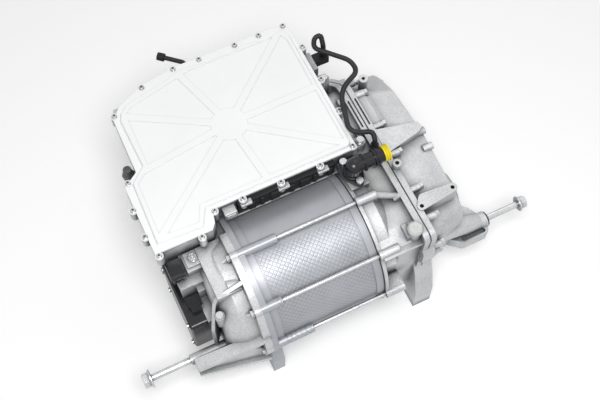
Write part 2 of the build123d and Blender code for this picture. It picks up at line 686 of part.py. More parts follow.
# End cover: a black moulding over the sensor pocket, held by five screws
COVER_START = COVER_SEAT - END_COVER_T
with BuildPart() as motor_end_cover:
    wedge(COVER_START, END_COVER_T, COVER_OUTLINE)
    fillet(motor_end_cover.edges().filter_by(Axis.X), radius=6)
    chamfer(motor_end_cover.faces().sort_by(Axis.X)[0].edges(), length=3)
    with BuildSketch(across(COVER_START + END_COVER_WALL)):
        Polygon(*COVER_OUTLINE, align=None)
        offset(amount=-END_COVER_WALL)
    extrude(amount=END_COVER_T, mode=Mode.SUBTRACT)
    for y, z in COVER_SCREWS:
        bar(COVER_START + 1, END_COVER_T - 1, 6, (y, z))
        bar(COVER_START, END_COVER_T, 2 + FIT, (y, z), Mode.SUBTRACT)
save(motor_end_cover, "motor_end_cover")

with BuildPart() as end_housing_screws:
    for y, z in COVER_SCREWS:
        bar(COVER_START - 3, 3, 4.5, (y, z))
        bar(COVER_START, END_COVER_T + 10, 2, (y, z))
    for place in DOME_SCREWS:
        post(place, DOME_SCREW_TOP, DOME_SCREW_TOP + 3, 6)
        post(place, DOME_SCREW_TOP - 12, DOME_SCREW_TOP, 3)
save(end_housing_screws, "end_housing_screws")

# Ground terminal: a flanged bolt on the terminal pad
PAD_SEAT = TERMINAL_PAD[1][2]
with BuildPart() as ground_bolt:
    post(GROUND_BOLT, PAD_SEAT, PAD_SEAT + 2, 7.6)
    with BuildSketch(level(PAD_SEAT + 2)):
        with Locations(GROUND_BOLT):
            RegularPolygon(7, 6)
    extrude(amount=5)
    post(GROUND_BOLT, PAD_SEAT - 20, PAD_SEAT, 5)
save(ground_bolt, "ground_bolt")

# Sensor and high-voltage connectors at the left end
with BuildPart() as sensor_connector:
    block((-100, -24, END_COVER_TOP), (NOSE_STEP[0][0], -6, END_COVER_TOP + 10))
    block((-97, -34, END_COVER_TOP + 1), (-80, -24, END_COVER_TOP + 9))
    block((-95, -34, END_COVER_TOP + 3), (-82, -26, END_COVER_TOP + 7), Mode.SUBTRACT)
save(sensor_connector, "sensor_connector")

with BuildPart() as phase_connector:
    block((-108, 14, NOSE[1][2]), (-84, 42, NOSE[1][2] + 18))
    block((-106, 8, NOSE[1][2] + 4), (-86, 14, NOSE[1][2] + 16))
    block((-103, 8, NOSE[1][2] + 7), (-89, 12, NOSE[1][2] + 13), Mode.SUBTRACT)
save(phase_connector, "phase_connector")


def mount_bolt(seat, axis, tip, side):
    """A flanged hexagon bolt along x; side is -1 when its head is at the left."""
    with BuildPart() as bolt:
        bar(min(seat, tip), abs(seat - tip), MOUNT_BOLT_R, axis)
        bar(seat if side > 0 else seat - 4, 4, 11, axis)
        with BuildSketch(across(seat + 4 if side > 0 else seat - 15)):
            with Locations(axis):
                RegularPolygon(9.5, 6)
        extrude(amount=11)
    return bolt


left_mount_bolt = mount_bolt(LEFT_BOLT_SEAT, LEFT_MOUNT, LEFT_ARM_END + MOUNT_GRIP - 4, -1)
save(left_mount_bolt, "left_mount_bolt")
right_mount_bolt = mount_bolt(RIGHT_BOLT_SEAT, RIGHT_MOUNT, RIGHT_ARM_END - MOUNT_GRIP + 4, 1)
save(right_mount_bolt, "right_mount_bolt")

with BuildPart() as right_mount_bush:
    ring(RIGHT_ARM_END - BUSH_LENGTH, BUSH_LENGTH, MOUNT_BOLT_R + RUN, BUSH_R - RUN, RIGHT_MOUNT)
    ring(RIGHT_ARM_END, 3, MOUNT_BOLT_R + RUN, RIGHT_BOSS_R - 2, RIGHT_MOUNT)
save(right_mount_bush, "right_mount_bush")

# Gearbox, inner half: bolted to the sleeve by the tie rods
ELBOW = (GEARBOX_START + 19, 48)
ELBOW_PAD = ((GEARBOX_START + 4, 22), (GEARBOX_START + 36, 76))
PAD_TOP = 122
ELBOW_SCREWS = ((ELBOW[0] + 2, 28), (ELBOW[0] - 7, 70))
FLOW_R = 9.5
REAR_PAD = ((GEARBOX_START + 18, 160), (GEARBOX_START + 54, 196))
SEAL_R = 31
FILL_PLUG = (SPLIT - 17, -78)
FILL_TOP = RIM_TOP + 1
FILL_BLOCK = ((SPLIT - 33, -84, 70), (SPLIT - RIM_T, -60, BODY_TOP + 4))
RIM_GROOVE = (124, 180)
RIM_GROOVE_DEPTH = 4
RIM_GROOVE_W = 3
RIGHT_FOOT = ((-122, FLOOR), (-88, FLOOR), (-78, -96), (-78, -10), (-92, -4), (-106, -36), (-120, -92))
INNER_FOOT_T = 15


def joint_spots():
    yield from JOINT_ROW
    yield from JOINT_SIDES
    for angle in JOINT_OUTPUT_ANGLES:
        yield (OUTPUT_AXIS[0] + JOINT_OUTPUT_CIRCLE * cos(radians(angle)),
               OUTPUT_AXIS[1] + JOINT_OUTPUT_CIRCLE * sin(radians(angle)))


def inset(outline, amount):
    return tuple((centre, radius - amount) for centre, radius in outline)


joints = tuple(joint_spots())
BAND_END = GEARBOX_START + BAND_LENGTH
with BuildPart() as motor_band:
    with BuildSketch(facing(0)):
        Polygon(
            (GEARBOX_START, 0), (GEARBOX_START, RING_R), (BAND_END, RING_R), (BAND_END + BAND_SLOPE, BODY_TOP - 4),
            (BAND_END + BAND_SLOPE, 0),
            align=None,
        )
    revolve(axis=line_along_x())
    block((GEARBOX_START - 1, -FLANGE_R, BAND_BOTTOM), (SPLIT, FLANGE_R, FLANGE_R), Mode.INTERSECT)

with BuildPart() as gearbox_inner_housing:
    hull_bar(GEARBOX_START, INNER_DEPTH, BODY)
    bar(GEARBOX_START, SEAM_T, SEAM_R)
    add(motor_band.part)
    hull_bar(SPLIT - RIM_T, RIM_T, RIM)
    hull_bar(SPLIT - RIM_T, RIM_T, RIM_LUG)
    for place in JOINT_ROW:
        bar(SPLIT - RIM_T - JOINT_TAIL, JOINT_TAIL, JOINT_BOSS_R, place)
    for index in range(ROD_COUNT):
        y, z = rod_spot(index)
        if y < 1:
            hull_bar(GEARBOX_START, ROD_BOSS_LENGTH, (((y, z), ROD_BOSS_R), ((0.82 * y, 0.82 * z), ROD_BOSS_R)))
    with BuildSketch(across(GEARBOX_START + ROD_BOSS_LENGTH - 2)):
        with Locations(rod_spot(0)):
            Circle(ROD_BOSS_R - 1)
    with BuildSketch(across(SPLIT - RIM_T)):
        with Locations(JOINT_ROW[0]):
            Circle(JOINT_BOSS_R - 1)
    loft()
    block((*ELBOW_PAD[0], BODY_TOP - 10), (*ELBOW_PAD[1], PAD_TOP))
    for place in FIXING_LUGS:
        post(place, 50, LUG_BOTTOM, LUG_R)
    block(*FILL_BLOCK)
    post(FILL_PLUG, 70, FILL_TOP, 12)
    block((*REAR_PAD[0], FLOOR), (*REAR_PAD[1], -110))
    wedge(SPLIT - INNER_FOOT_T, INNER_FOOT_T, RIGHT_FOOT)
    hull_bar(GEARBOX_START + WALL, INNER_DEPTH - WALL, inset(BODY[1:], WALL), Mode.SUBTRACT)
    bar(GEARBOX_START, RIGHT_BEARING + ROTOR_BEARING[2] - GEARBOX_START, ROTOR_BEARING[1] + 6)
    bar(GEARBOX_START, COUNTER_LEFT + COUNTER_BEARING[2] - GEARBOX_START, COUNTER_BEARING[1] + 6, COUNTER_AXIS)
    bar(GEARBOX_START, CASE_BEARING_START + CASE_BEARING[2] - GEARBOX_START, CASE_BEARING[1] + 6, OUTPUT_AXIS)
    for index in range(ROD_COUNT):
        if rod_spot(index)[0] > 1:
            bar(GEARBOX_START, INNER_ROD_BOSS, ROD_BOSS_R, rod_spot(index))
        bar(GEARBOX_START, ROD_GRIP + 2, ROD_R + RUN, rod_spot(index), Mode.SUBTRACT)
    bar(GEARBOX_START, RIGHT_BEARING - GEARBOX_START, 30, mode=Mode.SUBTRACT)
    bar(RIGHT_BEARING, ROTOR_BEARING[2], ROTOR_BEARING[1], mode=Mode.SUBTRACT)
    bar(COUNTER_LEFT, COUNTER_BEARING[2], COUNTER_BEARING[1], COUNTER_AXIS, Mode.SUBTRACT)
    bar(GEARBOX_START, CASE_BEARING_START - GEARBOX_START, SEAL_R, OUTPUT_AXIS, Mode.SUBTRACT)
    bar(CASE_BEARING_START, CASE_BEARING[2], CASE_BEARING[1], OUTPUT_AXIS, Mode.SUBTRACT)
    for place in joints:
        bar(SPLIT - RIM_T, RIM_T, JOINT_BOLT_R + RUN, place, Mode.SUBTRACT)
    block((SPLIT - 8, RIM_GROOVE[0], RIM_TOP - RIM_GROOVE_DEPTH), (SPLIT - 8 + RIM_GROOVE_W, RIM_GROOVE[1], RIM_TOP),
          Mode.SUBTRACT)
    post(ELBOW, PAD_TOP - 14, PAD_TOP, FLOW_R, Mode.SUBTRACT)
    for place in ELBOW_SCREWS:
        post(place, PAD_TOP - 14, PAD_TOP, 3 + RUN, Mode.SUBTRACT)
    for place in FIXING_LUGS:
        post(place, LUG_BOTTOM - 18, LUG_BOTTOM, FIX_BOLT_R + RUN, Mode.SUBTRACT)
    post(FILL_PLUG, FILL_TOP - 14, FILL_TOP, 8 + RUN, Mode.SUBTRACT)
save(gearbox_inner_housing, "gearbox_inner_housing")

# Gearbox, outer half: a tapered casting with the far bearing seats, the right mount arm and brackets
END_INSIDE = FAR_BEARING + INPUT_BEARING[2]
OUTER_FOOT_T = 19
FAR_SEATS = ((MOTOR_SPOT, INPUT_BEARING[1]), (COUNTER_AXIS, COUNTER_BEARING[1]), (OUTPUT_AXIS, CASE_END_BEARING[1]))
END_DOME_R = 42
END_DOME_T = 20
PAD_HOLE_R = 3.4
BRACKET_Z = RIM_TOP + 1.5
BRACKET_HOLES = ((SPLIT + 12, -47), (GEARBOX_END - 13, -39))
BRACKET_PLATE = ((SPLIT + 22, -37), 10)
EYE = (SPLIT + 9, 34)
EYE_TOP = 124
EYE_R = 7.5
SMALL_BOSS = (SPLIT + 40, 212)
SMALL_BOSS_TOP = 104
PLATEAU_SIDE = ((RIM_END - 2, 60), (RIM_END - 2, 105), (RIM_END + 16, 105), (RIM_END + 25, 98), (RIM_END + 32, 60))
WING = (
    (RIM_END - 4, 111), (GEARBOX_END - 6, 94), (GEARBOX_END - 3, 82), (GEARBOX_END - 12, 76), (RIM_END - 4, 61.5),
)
FACE_LUGS = ((83, 92), (54, 86))
ARM_ROOT = (-66, 30)
ARM_ROOT_R = 22
POCKET_Y = -84
ARM_WEB_PLAN = (
    (GEARBOX_END - 10, -6), (GEARBOX_END + 20, -12), (RIGHT_ARM_END - 15, -34), (RIGHT_ARM_END - 4, -56),
    (RIGHT_ARM_END - 4, -68), (GEARBOX_END - 10, -68),
)
END_RIBS = 8


def outer_section(x, amount):
    """The outer half's outline at a place along x, set in from its surface by an amount."""
    part = (x - RIM_END) / (GEARBOX_END - RIM_END)
    circles = []
    for (start, start_r), (end, end_r) in zip(OUTER_BODY, OUTER_FACE):
        centre = tuple(a + (b - a) * part for a, b in zip(start, end))
        circles.append((centre, start_r + (end_r - start_r) * part - amount))
    return hull_face(x, circles)


def plan_block(outline, bottom, top):
    """An upright block with an outline seen from above, added to the part being built."""
    with BuildSketch(level(bottom)) as profile:
        Polygon(*outline, align=None)
    extrude(profile.sketch, amount=top - bottom)


def plan_hull(circles, bottom, top, mode=Mode.ADD):
    """An upright block whose outline is the hull of circles seen from above."""
    with BuildSketch(level(bottom)) as profile:
        for centre, radius in circles:
            with Locations(centre):
                Circle(radius)
        make_hull()
    extrude(profile.sketch, amount=top - bottom, mode=mode)


with BuildPart() as gearbox_outer_housing:
    hull_bar(SPLIT, RIM_T, RIM)
    hull_bar(SPLIT, RIM_T, RIM_LUG)
    loft([outer_section(RIM_END, 0), outer_section(GEARBOX_END, 0)])
    bar(GEARBOX_END - 4, END_DOME_T - 2, END_DOME_R)
    bar(GEARBOX_END - 4, END_DOME_T + 4, END_DOME_R - 8)
    with BuildSketch(across(GEARBOX_END - 2)):
        with Locations(OUTPUT_AXIS):
            with PolarLocations(30, END_RIBS, start_angle=10):
                Rectangle(56, 5, align=(Align.MIN, Align.CENTER))
    extrude(amount=7)
    for place in joints:
        bar(RIM_END, JOINT_BOSS, JOINT_BOSS_R, place)
    with BuildSketch(across(RIM_END + 7)):
        with Locations(ARM_ROOT):
            Circle(ARM_ROOT_R)
    with BuildSketch(across(RIGHT_ARM_END - 8)):
        with Locations(RIGHT_MOUNT):
            Circle(RIGHT_BOSS_R - 1.5)
    loft()
    bar(RIGHT_ARM_END - 46, 46, RIGHT_BOSS_R, RIGHT_MOUNT)
    plan_block(ARM_WEB_PLAN, -38, -30)
    plan_hull((((RIGHT_ARM_END - 52, POCKET_Y), 8), ((RIGHT_ARM_END - 12, POCKET_Y), 8),
               ((RIGHT_ARM_END - 80, -60), 8)), -52, -26)
    wedge(SPLIT, OUTER_FOOT_T, RIGHT_FOOT)
    plan_hull((BRACKET_PLATE, (BRACKET_HOLES[0], 7.5), (BRACKET_HOLES[1], 8)), 50, BRACKET_Z)
    post(EYE, 80, EYE_TOP, EYE_R)
    post(SMALL_BOSS, 40, SMALL_BOSS_TOP, 8)
    with BuildSketch(facing(JOINT_ROW[3][0])):
        Polygon(*PLATEAU_SIDE, align=None)
    extrude(amount=JOINT_ROW[3][0] - JOINT_ROW[4][0])
    plan_block(WING, 60, RIM_TOP + 1)
    for place in FACE_LUGS:
        bar(GEARBOX_END - 14, 18, JOINT_BOSS_R, place)
    hull_bar(SPLIT, RIM_T, inset(BODY[1:], WALL), Mode.SUBTRACT)
    loft([outer_section(RIM_END, WALL), outer_section(END_INSIDE, WALL)], mode=Mode.SUBTRACT)
    for axis, radius in FAR_SEATS:
        bar(FAR_BEARING, GEARBOX_END - FAR_BEARING + 5, radius + 7, axis)
        bar(FAR_BEARING, END_INSIDE - FAR_BEARING, radius, axis, Mode.SUBTRACT)
    bar(END_INSIDE, GEARBOX_END - END_INSIDE + 6, SEAL_R, OUTPUT_AXIS, Mode.SUBTRACT)
    for place in joints:
        bar(SPLIT, RIM_T + JOINT_BOSS, JOINT_BOLT_R + 2 * FIT, place, Mode.SUBTRACT)
        bar(RIM_END + JOINT_BOSS, 30, JOINT_HEAD_R + 1, place, Mode.SUBTRACT)
    bar(RIGHT_ARM_END - BUSH_LENGTH, BUSH_LENGTH, BUSH_R, RIGHT_MOUNT, Mode.SUBTRACT)
    bar(RIGHT_ARM_END - MOUNT_GRIP, MOUNT_GRIP, MOUNT_BOLT_R + RUN, RIGHT_MOUNT, Mode.SUBTRACT)
    block((SPLIT + 8 - RIM_GROOVE_W, RIM_GROOVE[0], RIM_TOP - RIM_GROOVE_DEPTH), (SPLIT + 8, RIM_GROOVE[1], RIM_TOP),
          Mode.SUBTRACT)
    plan_hull((((RIGHT_ARM_END - 52, POCKET_Y), 4.5), ((RIGHT_ARM_END - 14, POCKET_Y), 4.5)), -34, -26, Mode.SUBTRACT)
    for place in BRACKET_HOLES:
        post(place, BRACKET_Z - 20, BRACKET_Z, PAD_HOLE_R, Mode.SUBTRACT)
    post(EYE, EYE_TOP - 16, EYE_TOP, PAD_HOLE_R, Mode.SUBTRACT)
    post(SMALL_BOSS, SMALL_BOSS_TOP - 14, SMALL_BOSS_TOP, 3, Mode.SUBTRACT)
    post(RIGHT_FOOT_HOLE, FLOOR, FLOOR + FOOT_HOLE_DEPTH, FOOT_HOLE_R, Mode.SUBTRACT)
save(gearbox_outer_housing, "gearbox_outer_housing")


with BuildPart() as gearbox_joint_bolts:
    for place in joints:
        bar(SPLIT - RIM_T, RIM_T + RIM_T + JOINT_BOSS, JOINT_BOLT_R, place)
    with BuildSketch(across(RIM_END + JOINT_BOSS)):
        for place in joints:
            with Locations(place):
                RegularPolygon(JOINT_HEAD_R, 6)
    extrude(amount=JOINT_HEAD_T)
save(gearbox_joint_bolts, "gearbox_joint_bolts")

with BuildPart() as oil_fill_plug:
    post(FILL_PLUG, FILL_TOP, FILL_TOP + 4, 11)
    post(FILL_PLUG, FILL_TOP - 12, FILL_TOP, 8)
    with BuildSketch(level(FILL_TOP - 2)):
        with Locations(FILL_PLUG):
            RegularPolygon(4.5, 6)
    extrude(amount=6, mode=Mode.SUBTRACT)
save(oil_fill_plug, "oil_fill_plug")

with BuildPart() as output_seals:
    ring(GEARBOX_START, 8, HUB_BORE_R + RUN, SEAL_R - RUN, OUTPUT_AXIS)
    ring(GEARBOX_END - 5, 10, HUB_BORE_R + RUN, SEAL_R - RUN, OUTPUT_AXIS)
save(output_seals, "output_seals")

# Coolant elbow with its two screws and the cap in its mouth
PIPE_Z = PAD_TOP + 26
ELBOW_R = 14
PIPE_R = 12.5
PIPE_END = GEARBOX_START + 71
CAP_LENGTH = 11
CAP_R = 14
FLANGE_TOP = PAD_TOP + 8
with BuildPart() as coolant_elbow:
    with BuildSketch(level(PAD_TOP)):
        with Locations(ELBOW):
            Circle(17)
        with Locations(*ELBOW_SCREWS):
            Circle(7)
        make_hull()
    extrude(amount=FLANGE_TOP - PAD_TOP)
    post(ELBOW, PAD_TOP, PIPE_Z, ELBOW_R)
    with Locations(spot(*ELBOW, PIPE_Z)):
        Sphere(ELBOW_R)
    bar(ELBOW[0], PIPE_END - ELBOW[0], PIPE_R, (ELBOW[1], PIPE_Z))
    bar(PIPE_END - 12, 5, ELBOW_R, (ELBOW[1], PIPE_Z))
    post(ELBOW, PAD_TOP, PIPE_Z, FLOW_R, Mode.SUBTRACT)
    with Locations(spot(*ELBOW, PIPE_Z)):
        Sphere(FLOW_R, mode=Mode.SUBTRACT)
    bar(ELBOW[0], PIPE_END - ELBOW[0], FLOW_R, (ELBOW[1], PIPE_Z), Mode.SUBTRACT)
    for place in ELBOW_SCREWS:
        post(place, PAD_TOP, FLANGE_TOP, 3 + FIT, Mode.SUBTRACT)
        post(place, FLANGE_TOP, FLANGE_TOP + 30, 6.5, Mode.SUBTRACT)
save(coolant_elbow, "coolant_elbow")

with BuildPart() as elbow_screws:
    for place in ELBOW_SCREWS:
        post(place, PAD_TOP - 12, FLANGE_TOP, 3)
        post(place, FLANGE_TOP, FLANGE_TOP + 5, 6)
save(elbow_screws, "elbow_screws")

with BuildPart() as elbow_cap:
    bar(PIPE_END, CAP_LENGTH, CAP_R, (ELBOW[1], PIPE_Z))
    bar(PIPE_END - 16, 16, FLOW_R - FIT, (ELBOW[1], PIPE_Z))
    bar(PIPE_END - 16, 13 + CAP_LENGTH, FLOW_R - 2, (ELBOW[1], PIPE_Z), Mode.SUBTRACT)
save(elbow_cap, "elbow_cap")

# Inverter housing: a tray with a deeper tub, ears for the lid screws and posts for the board
HOUSING_TOP = LID_BOTTOM - GASKET_T
BOARD_Z = 118
BOARD_POSTS = ((-62, 150), (178, 150), (-62, 320), (178, 320))
PLUG_BOSS = ((INVERTER_END - BOX_WALL, 250, 106), (INVERTER_END + 14, 286, 128))
with BuildPart() as inverter_housing:
    with BuildSketch(level(BOX_BOTTOM)):
        Polygon(*LID_OUTLINE, align=None)
    extrude(amount=HOUSING_TOP - BOX_BOTTOM)
    block((STEP_X, 0, BOX_BOTTOM), (STEP_X + 100, 400, STEP_BOTTOM), Mode.SUBTRACT)
    block((*TUB[0], TUB_BOTTOM), (*TUB[1], BOX_BOTTOM))
    with BuildSketch(level(BOX_BOTTOM + BOX_FLOOR)):
        Polygon(*LID_OUTLINE, align=None)
        offset(amount=-BOX_WALL, kind=Kind.INTERSECTION)
        with Locations((STEP_X - BOX_WALL, 0)):
            Rectangle(400, 400, align=(Align.MAX, Align.MIN), mode=Mode.INTERSECT)
    extrude(amount=HOUSING_TOP - BOX_BOTTOM - BOX_FLOOR, mode=Mode.SUBTRACT)
    with BuildSketch(level(STEP_BOTTOM + BOX_FLOOR)):
        Polygon(*LID_OUTLINE, align=None)
        offset(amount=-BOX_WALL, kind=Kind.INTERSECTION)
    extrude(amount=HOUSING_TOP - STEP_BOTTOM - BOX_FLOOR, mode=Mode.SUBTRACT)
    block((TUB[0][0] + BOX_WALL, TUB[0][1] + BOX_WALL, TUB_BOTTOM + BOX_FLOOR),
          (TUB[1][0] - BOX_WALL, TUB[1][1] - BOX_WALL, HOUSING_TOP), Mode.SUBTRACT)
    for place in SCREW_SPOTS:
        post(place, EAR_BOTTOM, HOUSING_TOP, EAR_R)
    for place in BOARD_POSTS:
        post(place, TUB_BOTTOM + BOX_FLOOR, BOARD_Z, 5)
    for x, y in FIXING_LUGS:
        plan_hull((((x, y), LUG_R), ((INVERTER_END - 2, y - 8), 2), ((INVERTER_END - 2, y + 8), 2)),
                  LUG_BOTTOM, LUG_BOTTOM + LUG_T)
    block(*PLUG_BOSS)
    for place in SCREW_SPOTS:
        post(place, EAR_BOTTOM + 2, HOUSING_TOP, SCREW_R + RUN, Mode.SUBTRACT)
    block((*BAR_SLOT[0], BOX_BOTTOM), (*BAR_SLOT[1], BOX_BOTTOM + BOX_FLOOR), Mode.SUBTRACT)
    post(INVERTER_POST, BOX_BOTTOM, BOX_BOTTOM + BOX_FLOOR, FIX_BOLT_R + FIT, Mode.SUBTRACT)
    for place in FIXING_LUGS:
        post(place, LUG_BOTTOM, LUG_BOTTOM + LUG_T, FIX_BOLT_R + FIT, Mode.SUBTRACT)
save(inverter_housing, "inverter_housing")

with BuildPart() as inverter_fixing_bolts:
    for place, seat in ((INVERTER_POST, BOX_BOTTOM + BOX_FLOOR), *((place, LUG_BOTTOM + LUG_T) for place in FIXING_LUGS)):
        post(place, seat, seat + 1.5, 7.5)
        post(place, seat, seat + 6.5, 6)
        post(place, seat - LUG_T - 12, seat, FIX_BOLT_R)
save(inverter_fixing_bolts, "inverter_fixing_bolts")

with BuildPart() as lid_gasket:
    with BuildSketch(level(HOUSING_TOP)):
        Polygon(*LID_OUTLINE, align=None)
        offset(amount=-BOX_WALL + 1, kind=Kind.INTERSECTION, mode=Mode.SUBTRACT)
        with Locations(*SCREW_SPOTS):
            Circle(EAR_R)
            Circle(SCREW_R + FIT, mode=Mode.SUBTRACT)
    extrude(amount=GASKET_T)
save(lid_gasket, "lid_gasket")

# Lid: a flanged plate with a raised field; shallow pockets leave a disc and eight ribs standing
LID_TOP = LID_BOTTOM + LID_FLANGE_T
with BuildPart() as inverter_lid:
    with BuildSketch(level(LID_BOTTOM)):
        Polygon(*LID_OUTLINE, align=None)
        with Locations(*SCREW_SPOTS):
            Circle(EAR_R)
    extrude(amount=LID_FLANGE_T)
    with BuildSketch(level(LID_TOP)):
        Polygon(*PLATEAU, align=None)
    extrude(amount=PLATEAU_T, taper=25)
    with BuildSketch(level(LID_TOP + PLATEAU_T - POCKET)):
        Polygon(*POCKETS, align=None)
        with Locations(STAR_CENTRE):
            Circle(STAR_R, mode=Mode.SUBTRACT)
        for x, y in STAR_ENDS:
            run = hypot(x - STAR_CENTRE[0], y - STAR_CENTRE[1])
            angle = atan2(y - STAR_CENTRE[1], x - STAR_CENTRE[0])
            with Locations((STAR_CENTRE[0] + run * cos(angle) / 2, STAR_CENTRE[1] + run * sin(angle) / 2)):
                Rectangle(run, STAR_RIB, rotation=degrees(angle), mode=Mode.SUBTRACT)
    extrude(amount=POCKET, mode=Mode.SUBTRACT)
    for place in SCREW_SPOTS:
        post(place, LID_BOTTOM, LID_TOP, SCREW_R + FIT, Mode.SUBTRACT)
        post(place, LID_TOP, LID_TOP + PLATEAU_T, SCREW_HEAD_R + 1, Mode.SUBTRACT)
save(inverter_lid, "inverter_lid")

with BuildPart() as lid_screws:
    for place in SCREW_SPOTS:
        post(place, LID_TOP, LID_TOP + 4, SCREW_HEAD_R)
        post(place, EAR_BOTTOM + 4, LID_TOP, SCREW_R)
save(lid_screws, "lid_screws")

# Power electronics
TUB_FLOOR = TUB_BOTTOM + BOX_FLOOR
TUB_FRONT = TUB[0][1] + BOX_WALL + 7
MODULE = ((-52, TUB_FRONT, TUB_FLOOR), (30, TUB_FRONT + 165, TUB_FLOOR + 24))
CAPACITOR = ((44, TUB_FRONT, TUB_FLOOR), (168, TUB_FRONT + 100, TUB_FLOOR + 44))
with BuildPart() as power_module:
    block(*MODULE)
save(power_module, "power_module")

with BuildPart() as dc_capacitor:
    block(*CAPACITOR)
    fillet(dc_capacitor.edges().filter_by(Axis.Z), radius=6)
save(dc_capacitor, "dc_capacitor")

with BuildPart() as control_board:
    block((-68, 142, BOARD_Z), (184, 328, BOARD_Z + 1.6))
    block((-20, 180, BOARD_Z + 1.6), (10, 210, BOARD_Z + 4))
    block((60, 200, BOARD_Z + 1.6), (84, 224, BOARD_Z + 4))
    block((120, 160, BOARD_Z + 1.6), (150, 176, BOARD_Z + 10))
    block((-40, 290, BOARD_Z + 1.6), (20, 306, BOARD_Z + 12))
save(control_board, "control_board")

BAR_WIDTH = 7
BAR_T = 3
BAR_Z = BOX_BOTTOM + BOX_FLOOR + 2
with BuildPart() as phase_bars:
    for x in (-51, -41, -31):
        block((x, 60, 88), (x + BAR_WIDTH, 60 + BAR_T, BAR_Z))
        block((x, 60, BAR_Z), (x + BAR_WIDTH, MODULE[0][1] + 8, BAR_Z + BAR_T))
        block((x, MODULE[0][1] + 8 - BAR_T, MODULE[1][2]), (x + BAR_WIDTH, MODULE[0][1] + 8, BAR_Z))
save(phase_bars, "phase_bars")

# Signal connector under the lid's left edge
with BuildPart() as signal_connector:
    block((-112, 194, 112), (-90, 216, 134))
    block((-112, 197, 115), (-104, 213, 131), Mode.SUBTRACT)
save(signal_connector, "signal_connector")

# Harness along the inverter's right edge, from the plug by the elbow to the plug at the back
HARNESS_R = 4.5
FRONT_PLUG = (SPLIT - RIM_T, 76)
FRONT_PLUG_TOP = 132
BACK_PLUG = ((PLUG_BOSS[1][0], 262, 114), (PLUG_BOSS[1][0] + 27, 280, 128))
BACK_NECK = (283, 271)
BACK_NECK_TOP = 138
HARNESS = (
    (*FRONT_PLUG, FRONT_PLUG_TOP), (*FRONT_PLUG, 146), (283, 90, 152), (248, 104, 151), (270, 182, 151),
    (314, 204, 151), (312, 228, 152), (266, 274, 156), (271, 282, 172), (283, 282, 174),
    (*BACK_NECK, 156), (*BACK_NECK, BACK_NECK_TOP),
)


def bend_radii(points):
    """The largest arc each corner takes when every run is shared by its two corners."""
    radii = []
    for before, corner, after in zip(points, points[1:], points[2:]):
        run_in = Vector(*corner) - Vector(*before)
        run_out = Vector(*after) - Vector(*corner)
        half_turn = radians(run_in.get_angle(run_out)) / 2
        radii.append(0.45 * min(run_in.length, run_out.length) / tan(half_turn))
    return radii


with BuildPart() as front_plug:
    post(FRONT_PLUG, RIM_TOP, FRONT_PLUG_TOP, 7)
save(front_plug, "harness_front_plug")

with BuildPart() as back_plug:
    block(*BACK_PLUG)
    fillet(back_plug.edges().filter_by(Axis.Z), radius=2)
    post(BACK_NECK, BACK_PLUG[1][2], BACK_NECK_TOP, 5.8)
save(back_plug, "harness_back_plug")

harness_points = [spot(*point) for point in HARNESS]
with BuildPart() as harness:
    with BuildLine() as route:
        FilletPolyline(*harness_points, radius=bend_radii(harness_points))
    with BuildSketch(Plane(origin=route.line @ 0, z_dir=route.line % 0)):
        Circle(HARNESS_R)
    sweep(path=route.line)
save(harness, "harness")

# Breather at the back edge: a hose with a cap
BREATHER_Z = 128
BREATHER = ((62, 350), (62, 361), (36, 384))
with BuildPart() as breather_hose:
    with BuildLine() as route:
        FilletPolyline(*(spot(x, y, BREATHER_Z) for x, y in BREATHER), radius=8)
    with BuildSketch(Plane(origin=route.line @ 0, z_dir=route.line % 0)):
        Circle(4)
    sweep(path=route.line)
save(breather_hose, "breather_hose")

with BuildPart() as breather_cap:
    with BuildSketch(Plane(origin=route.line @ 1, z_dir=route.line % 1)):
        Circle(7)
    extrude(amount=12)
save(breather_cap, "breather_cap")
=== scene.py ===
import json
import math

import bmesh
import bpy
from mathutils import Matrix, Vector


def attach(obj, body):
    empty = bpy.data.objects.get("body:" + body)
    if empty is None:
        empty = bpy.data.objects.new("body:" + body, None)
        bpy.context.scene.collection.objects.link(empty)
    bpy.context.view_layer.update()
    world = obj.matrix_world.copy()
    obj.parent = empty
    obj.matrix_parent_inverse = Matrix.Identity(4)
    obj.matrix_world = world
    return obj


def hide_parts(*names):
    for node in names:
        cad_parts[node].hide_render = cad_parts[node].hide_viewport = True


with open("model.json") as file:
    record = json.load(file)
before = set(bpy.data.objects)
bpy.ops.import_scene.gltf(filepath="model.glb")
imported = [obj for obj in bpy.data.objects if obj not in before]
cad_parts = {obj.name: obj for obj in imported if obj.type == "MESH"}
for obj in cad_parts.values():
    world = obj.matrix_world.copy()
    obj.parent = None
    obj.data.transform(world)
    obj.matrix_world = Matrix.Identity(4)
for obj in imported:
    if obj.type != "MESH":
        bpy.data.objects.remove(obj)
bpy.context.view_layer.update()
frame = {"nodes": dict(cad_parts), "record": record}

nodes = frame["nodes"]
scene = bpy.context.scene

# The motor axis at the left flange face, in metres, as in the CAD
DATUM = Vector((-0.153, -0.1336, 0.150))
MM = 0.001


def at(x, y, z):
    """A point given in millimetres from the motor axis at the left flange face."""
    return DATUM + Vector((x, y, z)) * MM


# Camera: its lens, its directions and its place from the datum, fitted to the photo
CAMERA_LENS = 59.3
CAMERA_SENSOR = 36.0
CAMERA_RIGHT = Vector((0.901, -0.434, 0.0))
CAMERA_BACKWARD = Vector((-0.185, -0.385, 0.904))
CAMERA_PLACE = Vector((-0.1637, -0.5666, 1.5535))


def make_camera():
    data = bpy.data.cameras.new("photo_camera")
    data.lens = CAMERA_LENS
    data.sensor_width = CAMERA_SENSOR
    camera = bpy.data.objects.new("photo_camera", data)
    scene.collection.objects.link(camera)
    backward = CAMERA_BACKWARD.normalized()
    right = CAMERA_RIGHT.normalized()
    up = backward.cross(right).normalized()
    place = Matrix((right, up, backward)).transposed().to_4x4()
    place.translation = DATUM + CAMERA_PLACE
    camera.matrix_world = place
    scene.camera = camera


make_camera()


